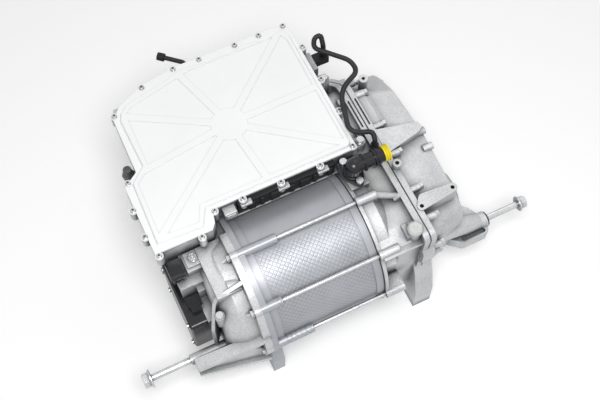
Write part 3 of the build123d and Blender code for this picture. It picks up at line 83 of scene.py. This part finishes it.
# Materials
BEVEL_SAMPLES = 6
HOLLOW_SAMPLES = 8
# Numbers of a mix node's colour sockets
COLOUR_A = 6
COLOUR_B = 7
COLOUR_RESULT = 2


class Graph:
    """A node tree with a Principled shader and short calls for the nodes that these materials use."""

    def __init__(self, name):
        self.material = bpy.data.materials.new(name)
        self.material.use_nodes = True
        self.tree = self.material.node_tree
        self.shader = self.tree.nodes["Principled BSDF"]

    def link(self, source, target):
        self.tree.links.new(source, target)

    def calc(self, operation, first, second=None, third=None):
        node = self.tree.nodes.new("ShaderNodeMath")
        node.operation = operation
        for socket, value in zip(node.inputs, (first, second, third)):
            if value is None:
                continue
            if isinstance(value, (int, float)):
                socket.default_value = value
            else:
                self.link(value, socket)
        return node.outputs[0]

    def position(self):
        return self.tree.nodes.new("ShaderNodeNewGeometry").outputs["Position"]

    def noise(self, scale, detail=3.0, rough=0.5):
        node = self.tree.nodes.new("ShaderNodeTexNoise")
        node.inputs["Scale"].default_value = scale
        node.inputs["Detail"].default_value = detail
        node.inputs["Roughness"].default_value = rough
        self.link(self.position(), node.inputs["Vector"])
        return node.outputs["Fac"]

    def ramp(self, source, stops):
        node = self.tree.nodes.new("ShaderNodeValToRGB")
        ramp = node.color_ramp
        while len(ramp.elements) < len(stops):
            ramp.elements.new(0.5)
        for element, (place, colour) in zip(ramp.elements, stops):
            element.position = place
            element.color = (*colour, 1.0)
        self.link(source, node.inputs["Fac"])
        return node.outputs["Color"]

    def bump(self, height, strength, distance, edge=0.0, before=None):
        """A bump, on top of another one or of edges softened over a width in metres."""
        node = self.tree.nodes.new("ShaderNodeBump")
        node.inputs["Strength"].default_value = strength
        node.inputs["Distance"].default_value = distance
        self.link(height, node.inputs["Height"])
        if before is not None:
            self.link(before, node.inputs["Normal"])
        elif edge:
            bevel = self.tree.nodes.new("ShaderNodeBevel")
            bevel.samples = BEVEL_SAMPLES
            bevel.inputs["Radius"].default_value = edge
            self.link(bevel.outputs["Normal"], node.inputs["Normal"])
        return node.outputs["Normal"]

    def paint_corner_shade(self, colour, shade_tone, reach, amount):
        """A colour darkened in corners by painted shade, from an ambient occlusion node."""
        hollow = self.tree.nodes.new("ShaderNodeAmbientOcclusion")
        hollow.samples = HOLLOW_SAMPLES
        hollow.inputs["Distance"].default_value = reach
        mix = self.tree.nodes.new("ShaderNodeMix")
        mix.data_type = "RGBA"
        open_share = self.calc("POWER", hollow.outputs["AO"], amount)
        self.link(open_share, mix.inputs["Factor"])
        mix.inputs[COLOUR_A].default_value = (*shade_tone, 1.0)
        self.link(colour, mix.inputs[COLOUR_B])
        return mix.outputs[COLOUR_RESULT]


GRAIN_DEPTH = 0.00008
ROUGH_SPREAD = 0.08
ROUGH_SCALE = 6


def surface(name, dark, light, metallic, rough, grain=900.0, mottle=22.0, edge=0.0008, specular=0.5,
            shade_tone=None, reach=0.012, amount=1.6):
    """Two tones mottled together, with a grain, softened edges and, where a shade tone is given, painted
    shade in corners.
    """
    graph = Graph(name)
    shader = graph.shader
    shader.inputs["Metallic"].default_value = metallic
    shader.inputs["Specular IOR Level"].default_value = specular
    blotch = graph.noise(mottle, detail=4.0, rough=0.6)
    colour = graph.ramp(blotch, ((0.3, dark), (0.7, light)))
    # Painted shade: corners are darkened towards the given tone
    if shade_tone:
        colour = graph.paint_corner_shade(colour, shade_tone, reach, amount)
    graph.link(colour, shader.inputs["Base Color"])
    fine = graph.noise(grain, detail=2.0, rough=0.6)
    patches = graph.noise(mottle * ROUGH_SCALE)
    rough_value = graph.calc("MULTIPLY_ADD", patches, ROUGH_SPREAD * 2, rough - ROUGH_SPREAD)
    graph.link(rough_value, shader.inputs["Roughness"])
    graph.link(graph.bump(fine, strength=0.6, distance=GRAIN_DEPTH, edge=edge), shader.inputs["Normal"])
    return graph.material


CAST_METALLIC = 0.5
CAST_STOPS = ((0.34, (0.43, 0.44, 0.45)), (0.5, (0.59, 0.60, 0.61)), (0.66, (0.75, 0.76, 0.76)))
# The tone that painted shade darkens the cast corners towards
CAST_CORNER_SHADE = (0.07, 0.073, 0.077)
BLOTCH_SHARE = 0.42
SPECK_SHARE = 0.58


def cast_material():
    """Cast aluminium: a coarse skin with brighter grains, and painted shade in its corners."""
    graph = Graph("cast_aluminium")
    shader = graph.shader
    shader.inputs["Metallic"].default_value = CAST_METALLIC
    blotch = graph.noise(14.0, detail=6.0, rough=0.65)
    speck = graph.noise(420.0, rough=0.7)
    tone = graph.calc("ADD", graph.calc("MULTIPLY", blotch, BLOTCH_SHARE),
                      graph.calc("MULTIPLY", speck, SPECK_SHARE))
    colour = graph.paint_corner_shade(graph.ramp(tone, CAST_STOPS), CAST_CORNER_SHADE, reach=0.022, amount=1.9)
    graph.link(colour, shader.inputs["Base Color"])
    graph.link(graph.calc("MULTIPLY_ADD", speck, 0.3, 0.3), shader.inputs["Roughness"])
    grains = graph.noise(340.0, detail=4.0, rough=0.65)
    waves = graph.noise(40.0, rough=0.6)
    skin = graph.bump(grains, strength=0.75, distance=0.0005, edge=0.0012)
    graph.link(graph.bump(waves, strength=0.5, distance=0.0012, before=skin), shader.inputs["Normal"])
    return graph.material


# The diamond field, in metres: along the motor axis from its start to its end, on the front half only
SLEEVE_METALLIC = 0.35
SLEEVE_RADIUS = 0.116
DIAMOND_PITCH = 0.0088
DIAMOND_SLOPE = 6.0
DIAMOND_ROUNDING = 0.4
DIAMOND_START = 0.026
DIAMOND_END = 0.192
DIAMOND_BACK = -0.010
GROOVE_SHADE = 0.2
SLEEVE_STOPS = ((0.2, (0.23, 0.24, 0.26)), (0.5, (0.41, 0.425, 0.455)), (0.7, (0.47, 0.485, 0.515)))
# The tone that painted shade darkens the sleeve's corners towards
SLEEVE_CORNER_SHADE = (0.16, 0.165, 0.18)


def sleeve_material():
    """Embossed diamonds between the sleeve's end rings on its front half, plain elsewhere, with painted
    shade in the grooves and in corners.
    """
    graph = Graph("embossed_sleeve")
    calc = graph.calc
    shader = graph.shader
    shader.inputs["Metallic"].default_value = SLEEVE_METALLIC
    split = graph.tree.nodes.new("ShaderNodeSeparateXYZ")
    graph.link(graph.position(), split.inputs[0])
    along = calc("SUBTRACT", split.outputs["X"], DATUM.x)
    y = calc("SUBTRACT", split.outputs["Y"], DATUM.y)
    z = calc("SUBTRACT", split.outputs["Z"], DATUM.z)
    turn = calc("MULTIPLY", calc("ARCTAN2", y, z), SLEEVE_RADIUS)
    lines = []
    for sign in (1.0, -1.0):
        slant = calc("MULTIPLY_ADD", turn, sign, along)
        wave = calc("FRACT", calc("DIVIDE", slant, DIAMOND_PITCH))
        away = calc("ABSOLUTE", calc("SUBTRACT", wave, 0.5))
        slope = calc("MULTIPLY", calc("SUBTRACT", 0.5, away), DIAMOND_SLOPE)
        lines.append(calc("SMOOTH_MIN", slope, 1.0, DIAMOND_ROUNDING))
    field = calc("MINIMUM", lines[0], lines[1])
    inside = calc("MULTIPLY", calc("GREATER_THAN", along, DIAMOND_START),
                  calc("LESS_THAN", along, DIAMOND_END))
    inside = calc("MULTIPLY", inside, calc("LESS_THAN", y, DIAMOND_BACK))
    height = calc("MULTIPLY", field, inside)
    groove = calc("MULTIPLY", calc("SUBTRACT", 1.0, field), inside)
    blotch = calc("MULTIPLY_ADD", graph.noise(18.0, detail=4.0, rough=0.6), 0.35, 0.33)
    # Painted shade darkens the grooves between the diamonds
    tone = calc("SUBTRACT", blotch, calc("MULTIPLY", groove, GROOVE_SHADE))
    colour = graph.paint_corner_shade(graph.ramp(tone, SLEEVE_STOPS), SLEEVE_CORNER_SHADE, reach=0.008, amount=0.8)
    graph.link(colour, shader.inputs["Base Color"])
    relief = graph.bump(height, strength=0.45, distance=0.0003, edge=0.0008)
    grain = graph.bump(graph.noise(900.0, detail=2.0), strength=0.4, distance=0.00005, before=relief)
    graph.link(grain, shader.inputs["Normal"])
    graph.link(calc("MULTIPLY_ADD", graph.noise(90.0), 0.12, 0.34), shader.inputs["Roughness"])
    return graph.material


# The plain looks: dark tone, light tone, metallic and roughness, then what differs from the usual values,
# among them the tone of the painted shade in corners
PLAIN_LOOKS = {
    "lid_aluminium": ((0.88, 0.885, 0.89), (0.92, 0.925, 0.93), 0.1, 0.46,
                      {"mottle": 9.0, "shade_tone": (0.55, 0.56, 0.57), "reach": 0.003, "amount": 1.0}),
    "steel": ((0.52, 0.53, 0.54), (0.70, 0.71, 0.72), 0.8, 0.26,
              {"mottle": 60.0, "edge": 0.0004, "shade_tone": (0.05, 0.05, 0.055), "reach": 0.006}),
    "gear_steel": ((0.36, 0.37, 0.39), (0.46, 0.47, 0.49), 0.95, 0.3, {"edge": 0.0003}),
    "bearing_steel": ((0.55, 0.56, 0.58), (0.66, 0.67, 0.69), 1.0, 0.16, {"edge": 0.0003}),
    "lamination_steel": ((0.22, 0.23, 0.25), (0.34, 0.35, 0.37), 0.85, 0.4, {}),
    "magnet": ((0.16, 0.16, 0.18), (0.24, 0.24, 0.26), 0.8, 0.3, {}),
    "copper": ((0.55, 0.26, 0.12), (0.72, 0.38, 0.20), 0.95, 0.3, {}),
    "black_plastic": ((0.003, 0.003, 0.005), (0.006, 0.006, 0.011), 0.0, 0.24, {}),
    "matte_black": ((0.004, 0.004, 0.005), (0.010, 0.010, 0.012), 0.0, 0.5, {"specular": 0.3}),
    "yellow_plastic": ((0.86, 0.70, 0.005), (0.93, 0.79, 0.01), 0.0, 0.4,
                       {"shade_tone": (0.5, 0.36, 0.0), "reach": 0.003}),
    "white_plastic": ((0.60, 0.61, 0.60), (0.70, 0.71, 0.69), 0.0, 0.4,
                      {"shade_tone": (0.3, 0.3, 0.3), "reach": 0.004}),
    "rubber": ((0.006, 0.006, 0.007), (0.013, 0.013, 0.014), 0.0, 0.45, {"grain": 1500.0, "specular": 0.4}),
    "circuit_board": ((0.02, 0.16, 0.08), (0.03, 0.22, 0.12), 0.0, 0.35, {}),
    "grey_plastic": ((0.06, 0.065, 0.07), (0.11, 0.115, 0.12), 0.3, 0.4, {}),
}
LOOKS = {"cast_aluminium": cast_material(), "sleeve_aluminium": sleeve_material()}
for slot, (dark, light, metallic, rough, others) in PLAIN_LOOKS.items():
    LOOKS[slot] = surface(slot, dark, light, metallic, rough, **others)

SLOT_OF = {part["node"]: part["material_slot"] for part in frame["record"]["subparts"]}
for name, obj in nodes.items():
    obj.data.materials.clear()
    obj.data.materials.append(LOOKS[SLOT_OF[name]])


# Added pieces
def piece(name, builder, slot, replaces=None):
    """Makes a mesh object from a bmesh, rides it on the unit and gives it a slot's material."""
    mesh = bpy.data.meshes.new(name)
    bmesh.ops.recalc_face_normals(builder, faces=builder.faces)
    builder.to_mesh(mesh)
    builder.free()
    mesh.materials.append(LOOKS[slot])
    obj = bpy.data.objects.new(name, mesh)
    scene.collection.objects.link(obj)
    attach(obj, "unit")
    if replaces:
        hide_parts(replaces)
    return obj


def join_rings(builder, rings):
    """Spans faces between neighbouring rings of points."""
    for below, above in zip(rings, rings[1:]):
        for side in range(len(below)):
            following = (side + 1) % len(below)
            builder.faces.new((below[side], below[following], above[following], above[side]))


def close_ends(builder, rings):
    """Closes the first and the last ring with a face each."""
    builder.faces.new(rings[0][::-1])
    builder.faces.new(rings[-1])


SOCKET_LOBE = 0.16
FLAT_ANGLE = math.pi / 3


def lathe(builder, origin, profile, sides=48, lobes=(), hexes=(), along_x=0):
    """Turns a profile of radius and height about a line through a point.

    The line is upright, or runs along x when along_x is 1 or -1. Rings whose numbers are in lobes get the
    six lobes of a screw's socket, and rings whose numbers are in hexes get six flats.
    """
    rings = []
    for index, (radius, height) in enumerate(profile):
        ring = []
        for side in range(sides):
            angle = 2 * math.pi * side / sides
            reach = radius
            if index in lobes:
                reach = radius * (1.0 + SOCKET_LOBE * math.cos(6 * angle))
            if index in hexes:
                off_middle = angle % FLAT_ANGLE - FLAT_ANGLE / 2
                reach = radius * math.cos(FLAT_ANGLE / 2) / math.cos(off_middle)
            across = reach * math.cos(angle)
            over = reach * math.sin(angle)
            way = Vector((along_x * height, across, over)) if along_x else Vector((across, over, height))
            ring.append(builder.verts.new(origin + way * MM))
        rings.append(ring)
    join_rings(builder, rings)
    close_ends(builder, rings)


def turned_piece(name, slot, replaces, place, profile, **options):
    """A piece of one turned form, at a place in millimetres."""
    builder = bmesh.new()
    lathe(builder, at(*place), profile, **options)
    piece(name, builder, slot, replaces)


BOX_SIDES = ((0, 1, 3, 2), (4, 6, 7, 5), (0, 4, 5, 1), (2, 3, 7, 6), (0, 2, 6, 4), (1, 5, 7, 3))


def slab(builder, low, high, soft):
    """A box between two corners, in millimetres, with its edges rounded."""
    corners = [at(x, y, z) for x in (low[0], high[0]) for y in (low[1], high[1]) for z in (low[2], high[2])]
    made = [builder.verts.new(corner) for corner in corners]
    for side in BOX_SIDES:
        builder.faces.new([made[number] for number in side])
    edges = list({edge for vert in made for edge in vert.link_edges})
    bmesh.ops.bevel(builder, geom=edges, offset=soft * MM, segments=3, affect="EDGES", profile=0.5)


# Lid screws: socket screws with a washer face under each head
LID_TOP = 143
SCREW_SPOTS = (
    (-84, 303), (-23, 335), (38, 346), (85, 345), (151, 345), (196, 345), (242, 345), (254, 292), (254, 220),
    (254, 153), (244, 84), (181, 75), (111.5, 75), (44.5, 75), (-4, 75), (-39, 42), (-111, 42), (-119, 81),
    (-119, 131), (-109, 179),
)
SCREW_PROFILE = (
    (0.6, -19.0), (2.5, -19.0), (2.5, 0.0), (4.7, 0.0), (4.7, 0.9), (3.9, 1.2), (3.8, 3.2), (3.3, 3.8),
    (2.1, 3.9), (1.9, 1.4), (0.4, 1.3),
)
SCREW_SIDES = 30
SOCKET_RINGS = (8, 9)


def lid_screws():
    builder = bmesh.new()
    for x, y in SCREW_SPOTS:
        lathe(builder, at(x, y, LID_TOP), SCREW_PROFILE, SCREW_SIDES, lobes=SOCKET_RINGS)
    piece("lid_screw_set", builder, "steel", "lid_screws")


lid_screws()


# Harness: a corrugated conduit along the CAD harness's route
HARNESS = (
    (281, 76, 132), (281, 76, 146), (283, 90, 152), (248, 104, 151), (270, 182, 151), (314, 204, 151),
    (312, 228, 152), (266, 274, 156), (271, 282, 172), (283, 282, 174), (283, 271, 156), (283, 271, 138),
)
HARNESS_R = 4.5
HARNESS_STEP = 0.0007
RIDGE_DEPTHS = (0.0, 0.0, 0.55, 0.55)
CORNER_SHARE = 0.45
ARC_STEPS = 12
TUBE_SIDES = 16
NO_LENGTH = 1e-9


def rounded_route(points, step):
    """Points along a polyline whose corners are rounded as in the CAD, at an even step."""
    dense = [points[0]]
    for before, corner, after in zip(points, points[1:], points[2:]):
        run_in = corner - before
        run_out = after - corner
        turn = run_in.angle(run_out)
        radius = CORNER_SHARE * min(run_in.length, run_out.length) / math.tan(turn / 2)
        cut = radius * math.tan(turn / 2)
        start = corner - run_in.normalized() * cut
        axis = run_in.cross(run_out).normalized()
        inward = axis.cross(run_in).normalized()
        centre = start + inward * radius
        for index in range(ARC_STEPS + 1):
            spin = Matrix.Rotation(turn * index / ARC_STEPS, 3, axis)
            dense.append(centre + spin @ (start - centre))
    dense.append(points[-1])
    even = [dense[0]]
    left = step
    for first, second in zip(dense, dense[1:]):
        run = (second - first).length
        while run > 0 and left <= run:
            even.append(first.lerp(second, left / run))
            left += step
        left -= run
    even.append(dense[-1])
    return even


def tube(builder, route, radius_at):
    """A tube round a route, with its radius in millimetres given by the point's number."""
    side_way = Vector((0, 0, 1)).cross(route[1] - route[0])
    if side_way.length < NO_LENGTH:
        side_way = Vector((1, 0, 0))
    rings = []
    for index, point in enumerate(route):
        ahead = (route[min(index + 1, len(route) - 1)] - route[max(index - 1, 0)]).normalized()
        side_way = (side_way - ahead * side_way.dot(ahead)).normalized()
        other = ahead.cross(side_way)
        radius = radius_at(index) * MM
        ring = []
        for side in range(TUBE_SIDES):
            angle = 2 * math.pi * side / TUBE_SIDES
            outward = side_way * math.cos(angle) + other * math.sin(angle)
            ring.append(builder.verts.new(point + outward * radius))
        rings.append(ring)
    join_rings(builder, rings)
    close_ends(builder, rings)


def harness_conduit():
    builder = bmesh.new()
    route = rounded_route([at(*point) for point in HARNESS], HARNESS_STEP)
    tube(builder, route, lambda index: HARNESS_R - RIDGE_DEPTHS[index % len(RIDGE_DEPTHS)])
    conduit = piece("harness_conduit", builder, "rubber", "harness")
    for face in conduit.data.polygons:
        face.use_smooth = True


harness_conduit()


# Mount bolts: shank with a thread, then a flanged hexagon head
THREAD_R = 5.9
THREAD_ROOT_R = 5.2
THREAD_PITCH = 1.75
THREAD_TURNS = 12
THREAD_END = 24.0


def mount_bolt(name, seat, axis, tip, way, flange, hexagon):
    """A bolt along x with its head at the seat; way is 1 when its head is at the right."""
    length = abs(seat - tip)
    profile = [(5.0, -length), (THREAD_R, -length + 1.0)]
    for turn in range(THREAD_TURNS):
        place = -length + 1.5 + THREAD_PITCH * turn
        profile += [(THREAD_R, place), (THREAD_ROOT_R, place + 0.8)]
    profile += [
        (THREAD_R, -length + THREAD_END), (THREAD_R, 0.0), (flange, 0.0), (flange + 0.6, 0.8),
        (flange + 0.6, 2.4), (flange - 1.0, 3.4), (hexagon + 0.4, 3.6), (hexagon - 0.4, 4.4), (hexagon, 5.0),
        (hexagon, 13.2), (hexagon - 1.6, 14.8), (hexagon * 0.55, 14.8), (hexagon * 0.5, 13.8),
    ]
    last = len(profile)
    turned_piece(name + "_dressed", "steel", name, (seat, *axis), profile,
                 hexes=(last - 5, last - 4, last - 3), along_x=way)


mount_bolt("left_mount_bolt", -197, (-77, -30), -82, -1, 15.4, 13.0)
mount_bolt("right_mount_bolt", 503, (-66, -30), 390, 1, 13.4, 11.6)

# Fill plug: a flanged plug with a chamfered hexagon
FILL_PLUG_PLACE = (275, -78, 111)
FILL_PLUG_PROFILE = (
    (7.6, -11.5), (7.9, -11.0), (7.9, 0.0), (12.6, 0.0), (12.8, 1.4), (12.0, 2.0), (12.0, 5.0), (10.6, 6.2),
    (3.4, 6.2), (3.0, 5.6),
)
turned_piece("oil_fill_plug_dressed", "white_plastic", "oil_fill_plug", FILL_PLUG_PLACE, FILL_PLUG_PROFILE,
             hexes=(6, 7))

# Wall and ledge at the inverter housing's back left corner: outline, bottom and top
CORNER_WALL = (
    ((-80, 306.9), (-70, 318), (-24, 340), (-21.4, 334.6), (-66.3, 313), (-75.6, 302.9)), 101, 138.4)
CORNER_LEDGE = (((-80, 300), (-80, 338), (-28, 338), (-70, 312)), 100.5, 107.2)


def corner_wall():
    builder = bmesh.new()
    for outline, low, high in (CORNER_WALL, CORNER_LEDGE):
        bottom = [builder.verts.new(at(x, y, low)) for x, y in outline]
        top = [builder.verts.new(at(x, y, high)) for x, y in outline]
        builder.faces.new(bottom)
        builder.faces.new(top[::-1])
        for side in range(len(outline)):
            following = (side + 1) % len(outline)
            builder.faces.new((bottom[side], top[side], top[following], bottom[following]))
    piece("inverter_corner_wall", builder, "cast_aluminium")


corner_wall()

# Ground bolt: flanged hexagon with a dished head
GROUND_BOLT_PLACE = (-64, 31, 109)
GROUND_BOLT_PROFILE = (
    (4.8, -19.5), (5.0, -19.0), (5.0, 0.0), (7.4, 0.0), (7.6, 0.6), (7.6, 1.6), (6.6, 2.2), (7.0, 2.4),
    (7.0, 6.2), (6.2, 7.0), (4.4, 7.0), (3.9, 5.8), (2.2, 5.8), (1.8, 6.4),
)
turned_piece("ground_bolt_dressed", "steel", "ground_bolt", GROUND_BOLT_PLACE, GROUND_BOLT_PROFILE,
             hexes=(7, 8, 9))

# Signal connector: a gland nut and its cap on a rounded foot, at the lid's left edge
GLAND_PLACE = (-101, 205, 112)
GLAND_PROFILE = (
    (8.0, 0.0), (9.6, 0.6), (9.6, 4.0), (10.6, 4.6), (10.8, 13.0), (9.4, 14.4), (8.2, 14.6), (8.2, 18.0),
    (7.4, 19.0), (7.0, 27.0), (6.2, 28.2), (3.6, 28.2), (3.2, 26.4),
)
GLAND_FOOT = ((-110, 196, 113), (-92, 214, 119), 1.5)


def signal_gland():
    builder = bmesh.new()
    lathe(builder, at(*GLAND_PLACE), GLAND_PROFILE, hexes=(3, 4, 5))
    slab(builder, *GLAND_FOOT)
    piece("signal_gland", builder, "grey_plastic", "signal_connector")


signal_gland()

# Elbow: two collars round its pipe, one round its upright leg, and a ribbed cap in its mouth
PIPE_AXIS = (48, 148)
PIPE_COLLARS = (243, 262)
PIPE_COLLAR_PROFILE = ((12.0, 0.0), (14.6, 0.0), (15.2, 0.6), (15.2, 2.6), (14.6, 3.2), (12.0, 3.2))
LEG_COLLAR_PLACE = (227, 48, 130)
LEG_COLLAR_PROFILE = ((13.5, 0.0), (16.2, 0.0), (16.6, 0.8), (15.6, 3.0), (13.5, 3.4))
CAP_X = 279
CAP_PROFILE = (
    (7.6, -15.8), (9.3, -15.8), (9.3, 0.1), (13.6, 0.1), (14.0, 0.8), (14.0, 2.4), (13.2, 2.8), (13.2, 4.2),
    (14.0, 4.6), (14.0, 6.2), (13.2, 6.6), (13.2, 8.0), (14.0, 8.4), (14.0, 10.2), (13.2, 11.0), (7.6, 11.0),
)


def elbow_collars():
    builder = bmesh.new()
    for x in PIPE_COLLARS:
        lathe(builder, at(x, *PIPE_AXIS), PIPE_COLLAR_PROFILE, along_x=1)
    lathe(builder, at(*LEG_COLLAR_PLACE), LEG_COLLAR_PROFILE)
    piece("coolant_elbow_collars", builder, "black_plastic")


elbow_collars()
turned_piece("elbow_cap_dressed", "yellow_plastic", "elbow_cap", (CAP_X, *PIPE_AXIS), CAP_PROFILE, along_x=1)

# Wiring channel under the lid's front edge with its clips, and the castings that hold it
CHANNEL = ((34, 70.5, 106), (206, 79.4, 136), 1.2)
CHANNEL_CLIPS = ((52, 12), (72, 7), (90, 16), (124, 9), (142, 18), (166, 7), (192, 9))
CORNER_BLOCK = ((8, 63, 116), (30, 79.4, 135), 1.6)
CORNER_BLOCK_FACE = ((11, 61.5, 119), (27, 64, 132), 0.8)
CHANNEL_SHELF = ((26, 68.0, 102.5), (212, 79.4, 106.5), 1.2)
CHANNEL_TABS = (104, 174, 38)
TAB_WIDTH = 20


def front_channel():
    builder = bmesh.new()
    slab(builder, *CHANNEL)
    for x, width in CHANNEL_CLIPS:
        slab(builder, (x, 67.0, 109), (x + width, 74.0, 131), 1.5)
    piece("front_wiring_channel", builder, "matte_black")
    builder = bmesh.new()
    for block in (CORNER_BLOCK, CORNER_BLOCK_FACE, CHANNEL_SHELF):
        slab(builder, *block)
    for x in CHANNEL_TABS:
        slab(builder, (x, 66.2, 130), (x + TAB_WIDTH, 76, 136.5), 1.4)
    piece("front_channel_brackets", builder, "cast_aluminium")


front_channel()


# Sealant beads: one round the gearbox's split, one at the sleeve's right end
def step_from(start, reach, degrees):
    """The point at a distance and an angle from another one, across the motor axis."""
    angle = math.radians(degrees)
    return (start[0] + reach * math.cos(angle), start[1] + reach * math.sin(angle))


COUNTER_AXIS = step_from((0, 0), 85, 11.5)
OUTPUT_AXIS = step_from(COUNTER_AXIS, 105.625, -26)
RIM = (((-88, 95), 15), ((196, 74), 36), (OUTPUT_AXIS, 115), ((-70, -84), 24))
SPLIT_GROW = 0.5
SEAM_RADIUS = 118.7
SEAM_POINTS = 96
CIRCLE_POINTS = 72
BEAD_DEPTH = 3.0
BEAD_EDGE = 0.15


def round_outline(centre, radius, count):
    """Points round a circle, across the motor axis."""
    outline = []
    for number in range(count):
        angle = 2 * math.pi * number / count
        outline.append((centre[0] + radius * math.cos(angle), centre[1] + radius * math.sin(angle)))
    return outline


def turns_left(first, second, third):
    """Whether the path through three points turns left at the second."""
    return ((second[0] - first[0]) * (third[1] - first[1])
            - (second[1] - first[1]) * (third[0] - first[0])) > 0


def hull(spots, grow):
    """The outline round circles, each grown by the same amount, as points in order."""
    cloud = []
    for centre, radius in spots:
        cloud += round_outline(centre, radius + grow, CIRCLE_POINTS)
    cloud.sort()
    chain = []
    for points in (cloud, cloud[::-1]):
        side = []
        for point in points:
            while len(side) > 1 and not turns_left(side[-2], side[-1], point):
                side.pop()
            side.append(point)
        chain += side[:-1]
    return chain


def bead(name, x, width, outline):
    """A closed band that follows an outline across the motor axis."""
    builder = bmesh.new()
    middle = Vector((sum(p[0] for p in outline), sum(p[1] for p in outline))) / len(outline)
    profile = (
        (x, BEAD_DEPTH), (x, BEAD_EDGE), (x + width * 0.3, 0.0), (x + width * 0.7, 0.0),
        (x + width, BEAD_EDGE), (x + width, BEAD_DEPTH),
    )
    loops = []
    for along, inset in profile:
        loop = []
        for y, z in outline:
            inward = (middle - Vector((y, z))).normalized() * inset
            loop.append(builder.verts.new(at(along, y + inward.x, z + inward.y)))
        loops.append(loop)
    join_rings(builder, loops + loops[:1])
    piece(name, builder, "rubber")


bead("split_sealant", 291.2, 1.6, hull(RIM, SPLIT_GROW))
bead("sleeve_seam_sealant", 206.9, 1.3, round_outline((0, 0), SEAM_RADIUS, SEAM_POINTS))

# Shelf rib along the front edge of the gearbox's inner half
SHELF_RIB = ((212, -99, 84.5), (300, -84, 88.5), 1.2)


def shelf_rib():
    builder = bmesh.new()
    slab(builder, *SHELF_RIB)
    piece("gearbox_shelf_rib", builder, "cast_aluminium")


shelf_rib()

# Floor and white surroundings: distances in metres, glows and lights as shares of white
FLOOR_TONE = 0.97
FLOOR_REACH = 6
GLOW_START, GLOW_END = 0.7, 3.2
GLOW_NEAR, GLOW_FAR = 0.17, 0.75
WORLD_LIGHT = 0.32
WORLD_SEEN = 1.0


def make_floor():
    """A pale floor that shows shadows near the unit and pales to white away from it, to the camera only."""
    material = bpy.data.materials.new("pale_floor")
    material.use_nodes = True
    tree = material.node_tree
    shader = tree.nodes["Principled BSDF"]
    shader.inputs["Base Color"].default_value = (FLOOR_TONE, FLOOR_TONE, FLOOR_TONE, 1.0)
    shader.inputs["Roughness"].default_value = 0.9
    shader.inputs["Emission Color"].default_value = (1.0, 1.0, 1.0, 1.0)
    reach = tree.nodes.new("ShaderNodeVectorMath")
    reach.operation = "LENGTH"
    tree.links.new(tree.nodes.new("ShaderNodeNewGeometry").outputs["Position"], reach.inputs[0])
    paling = tree.nodes.new("ShaderNodeMapRange")
    paling.interpolation_type = "SMOOTHSTEP"
    paling.inputs["From Min"].default_value = GLOW_START
    paling.inputs["From Max"].default_value = GLOW_END
    paling.inputs["To Min"].default_value = GLOW_NEAR
    paling.inputs["To Max"].default_value = GLOW_FAR
    tree.links.new(reach.outputs["Value"], paling.inputs["Value"])
    glow = tree.nodes.new("ShaderNodeMath")
    glow.operation = "MULTIPLY"
    tree.links.new(paling.outputs[0], glow.inputs[1])
    tree.links.new(tree.nodes.new("ShaderNodeLightPath").outputs["Is Camera Ray"], glow.inputs[0])
    tree.links.new(glow.outputs[0], shader.inputs["Emission Strength"])
    low, high = -FLOOR_REACH, FLOOR_REACH
    mesh = bpy.data.meshes.new("floor")
    mesh.from_pydata([(low, low, 0), (high, low, 0), (high, high, 0), (low, high, 0)], [], [(0, 1, 2, 3)])
    mesh.materials.append(material)
    floor = bpy.data.objects.new("floor", mesh)
    scene.collection.objects.link(floor)


def make_world():
    """A white world that is dimmer as a light than to the camera and to glossy and transmitted rays."""
    world = bpy.data.worlds.new("studio")
    scene.world = world
    world.use_nodes = True
    tree = world.node_tree
    background = tree.nodes["Background"]
    background.inputs["Color"].default_value = (1.0, 1.0, 1.0, 1.0)
    rays = tree.nodes.new("ShaderNodeLightPath")
    seen = rays.outputs["Is Camera Ray"]
    for kind in ("Is Glossy Ray", "Is Transmission Ray"):
        either = tree.nodes.new("ShaderNodeMath")
        either.operation = "MAXIMUM"
        tree.links.new(seen, either.inputs[0])
        tree.links.new(rays.outputs[kind], either.inputs[1])
        seen = either.outputs[0]
    strength = tree.nodes.new("ShaderNodeMapRange")
    strength.inputs["To Min"].default_value = WORLD_LIGHT
    strength.inputs["To Max"].default_value = WORLD_SEEN
    tree.links.new(seen, strength.inputs["Value"])
    tree.links.new(strength.outputs[0], background.inputs["Strength"])


LAMP_TARGET = Vector((0.0, 0.0, 0.1))


def area_light(name, place, size, power):
    """A round lamp that faces the middle of the unit, its size in metres and its power in watts."""
    data = bpy.data.lights.new(name, "AREA")
    data.shape = "DISK"
    data.size = size
    data.energy = power
    lamp = bpy.data.objects.new(name, data)
    lamp.location = place
    direction = LAMP_TARGET - Vector(place)
    lamp.rotation_euler = direction.to_track_quat("-Z", "Y").to_euler()
    scene.collection.objects.link(lamp)


make_floor()
make_world()
area_light("key", (-0.25, -0.8, 2.15), 0.9, 31.0)
area_light("fill", (1.4, 1.2, 1.9), 1.4, 4.0)

scene.view_settings.view_transform = "Standard"
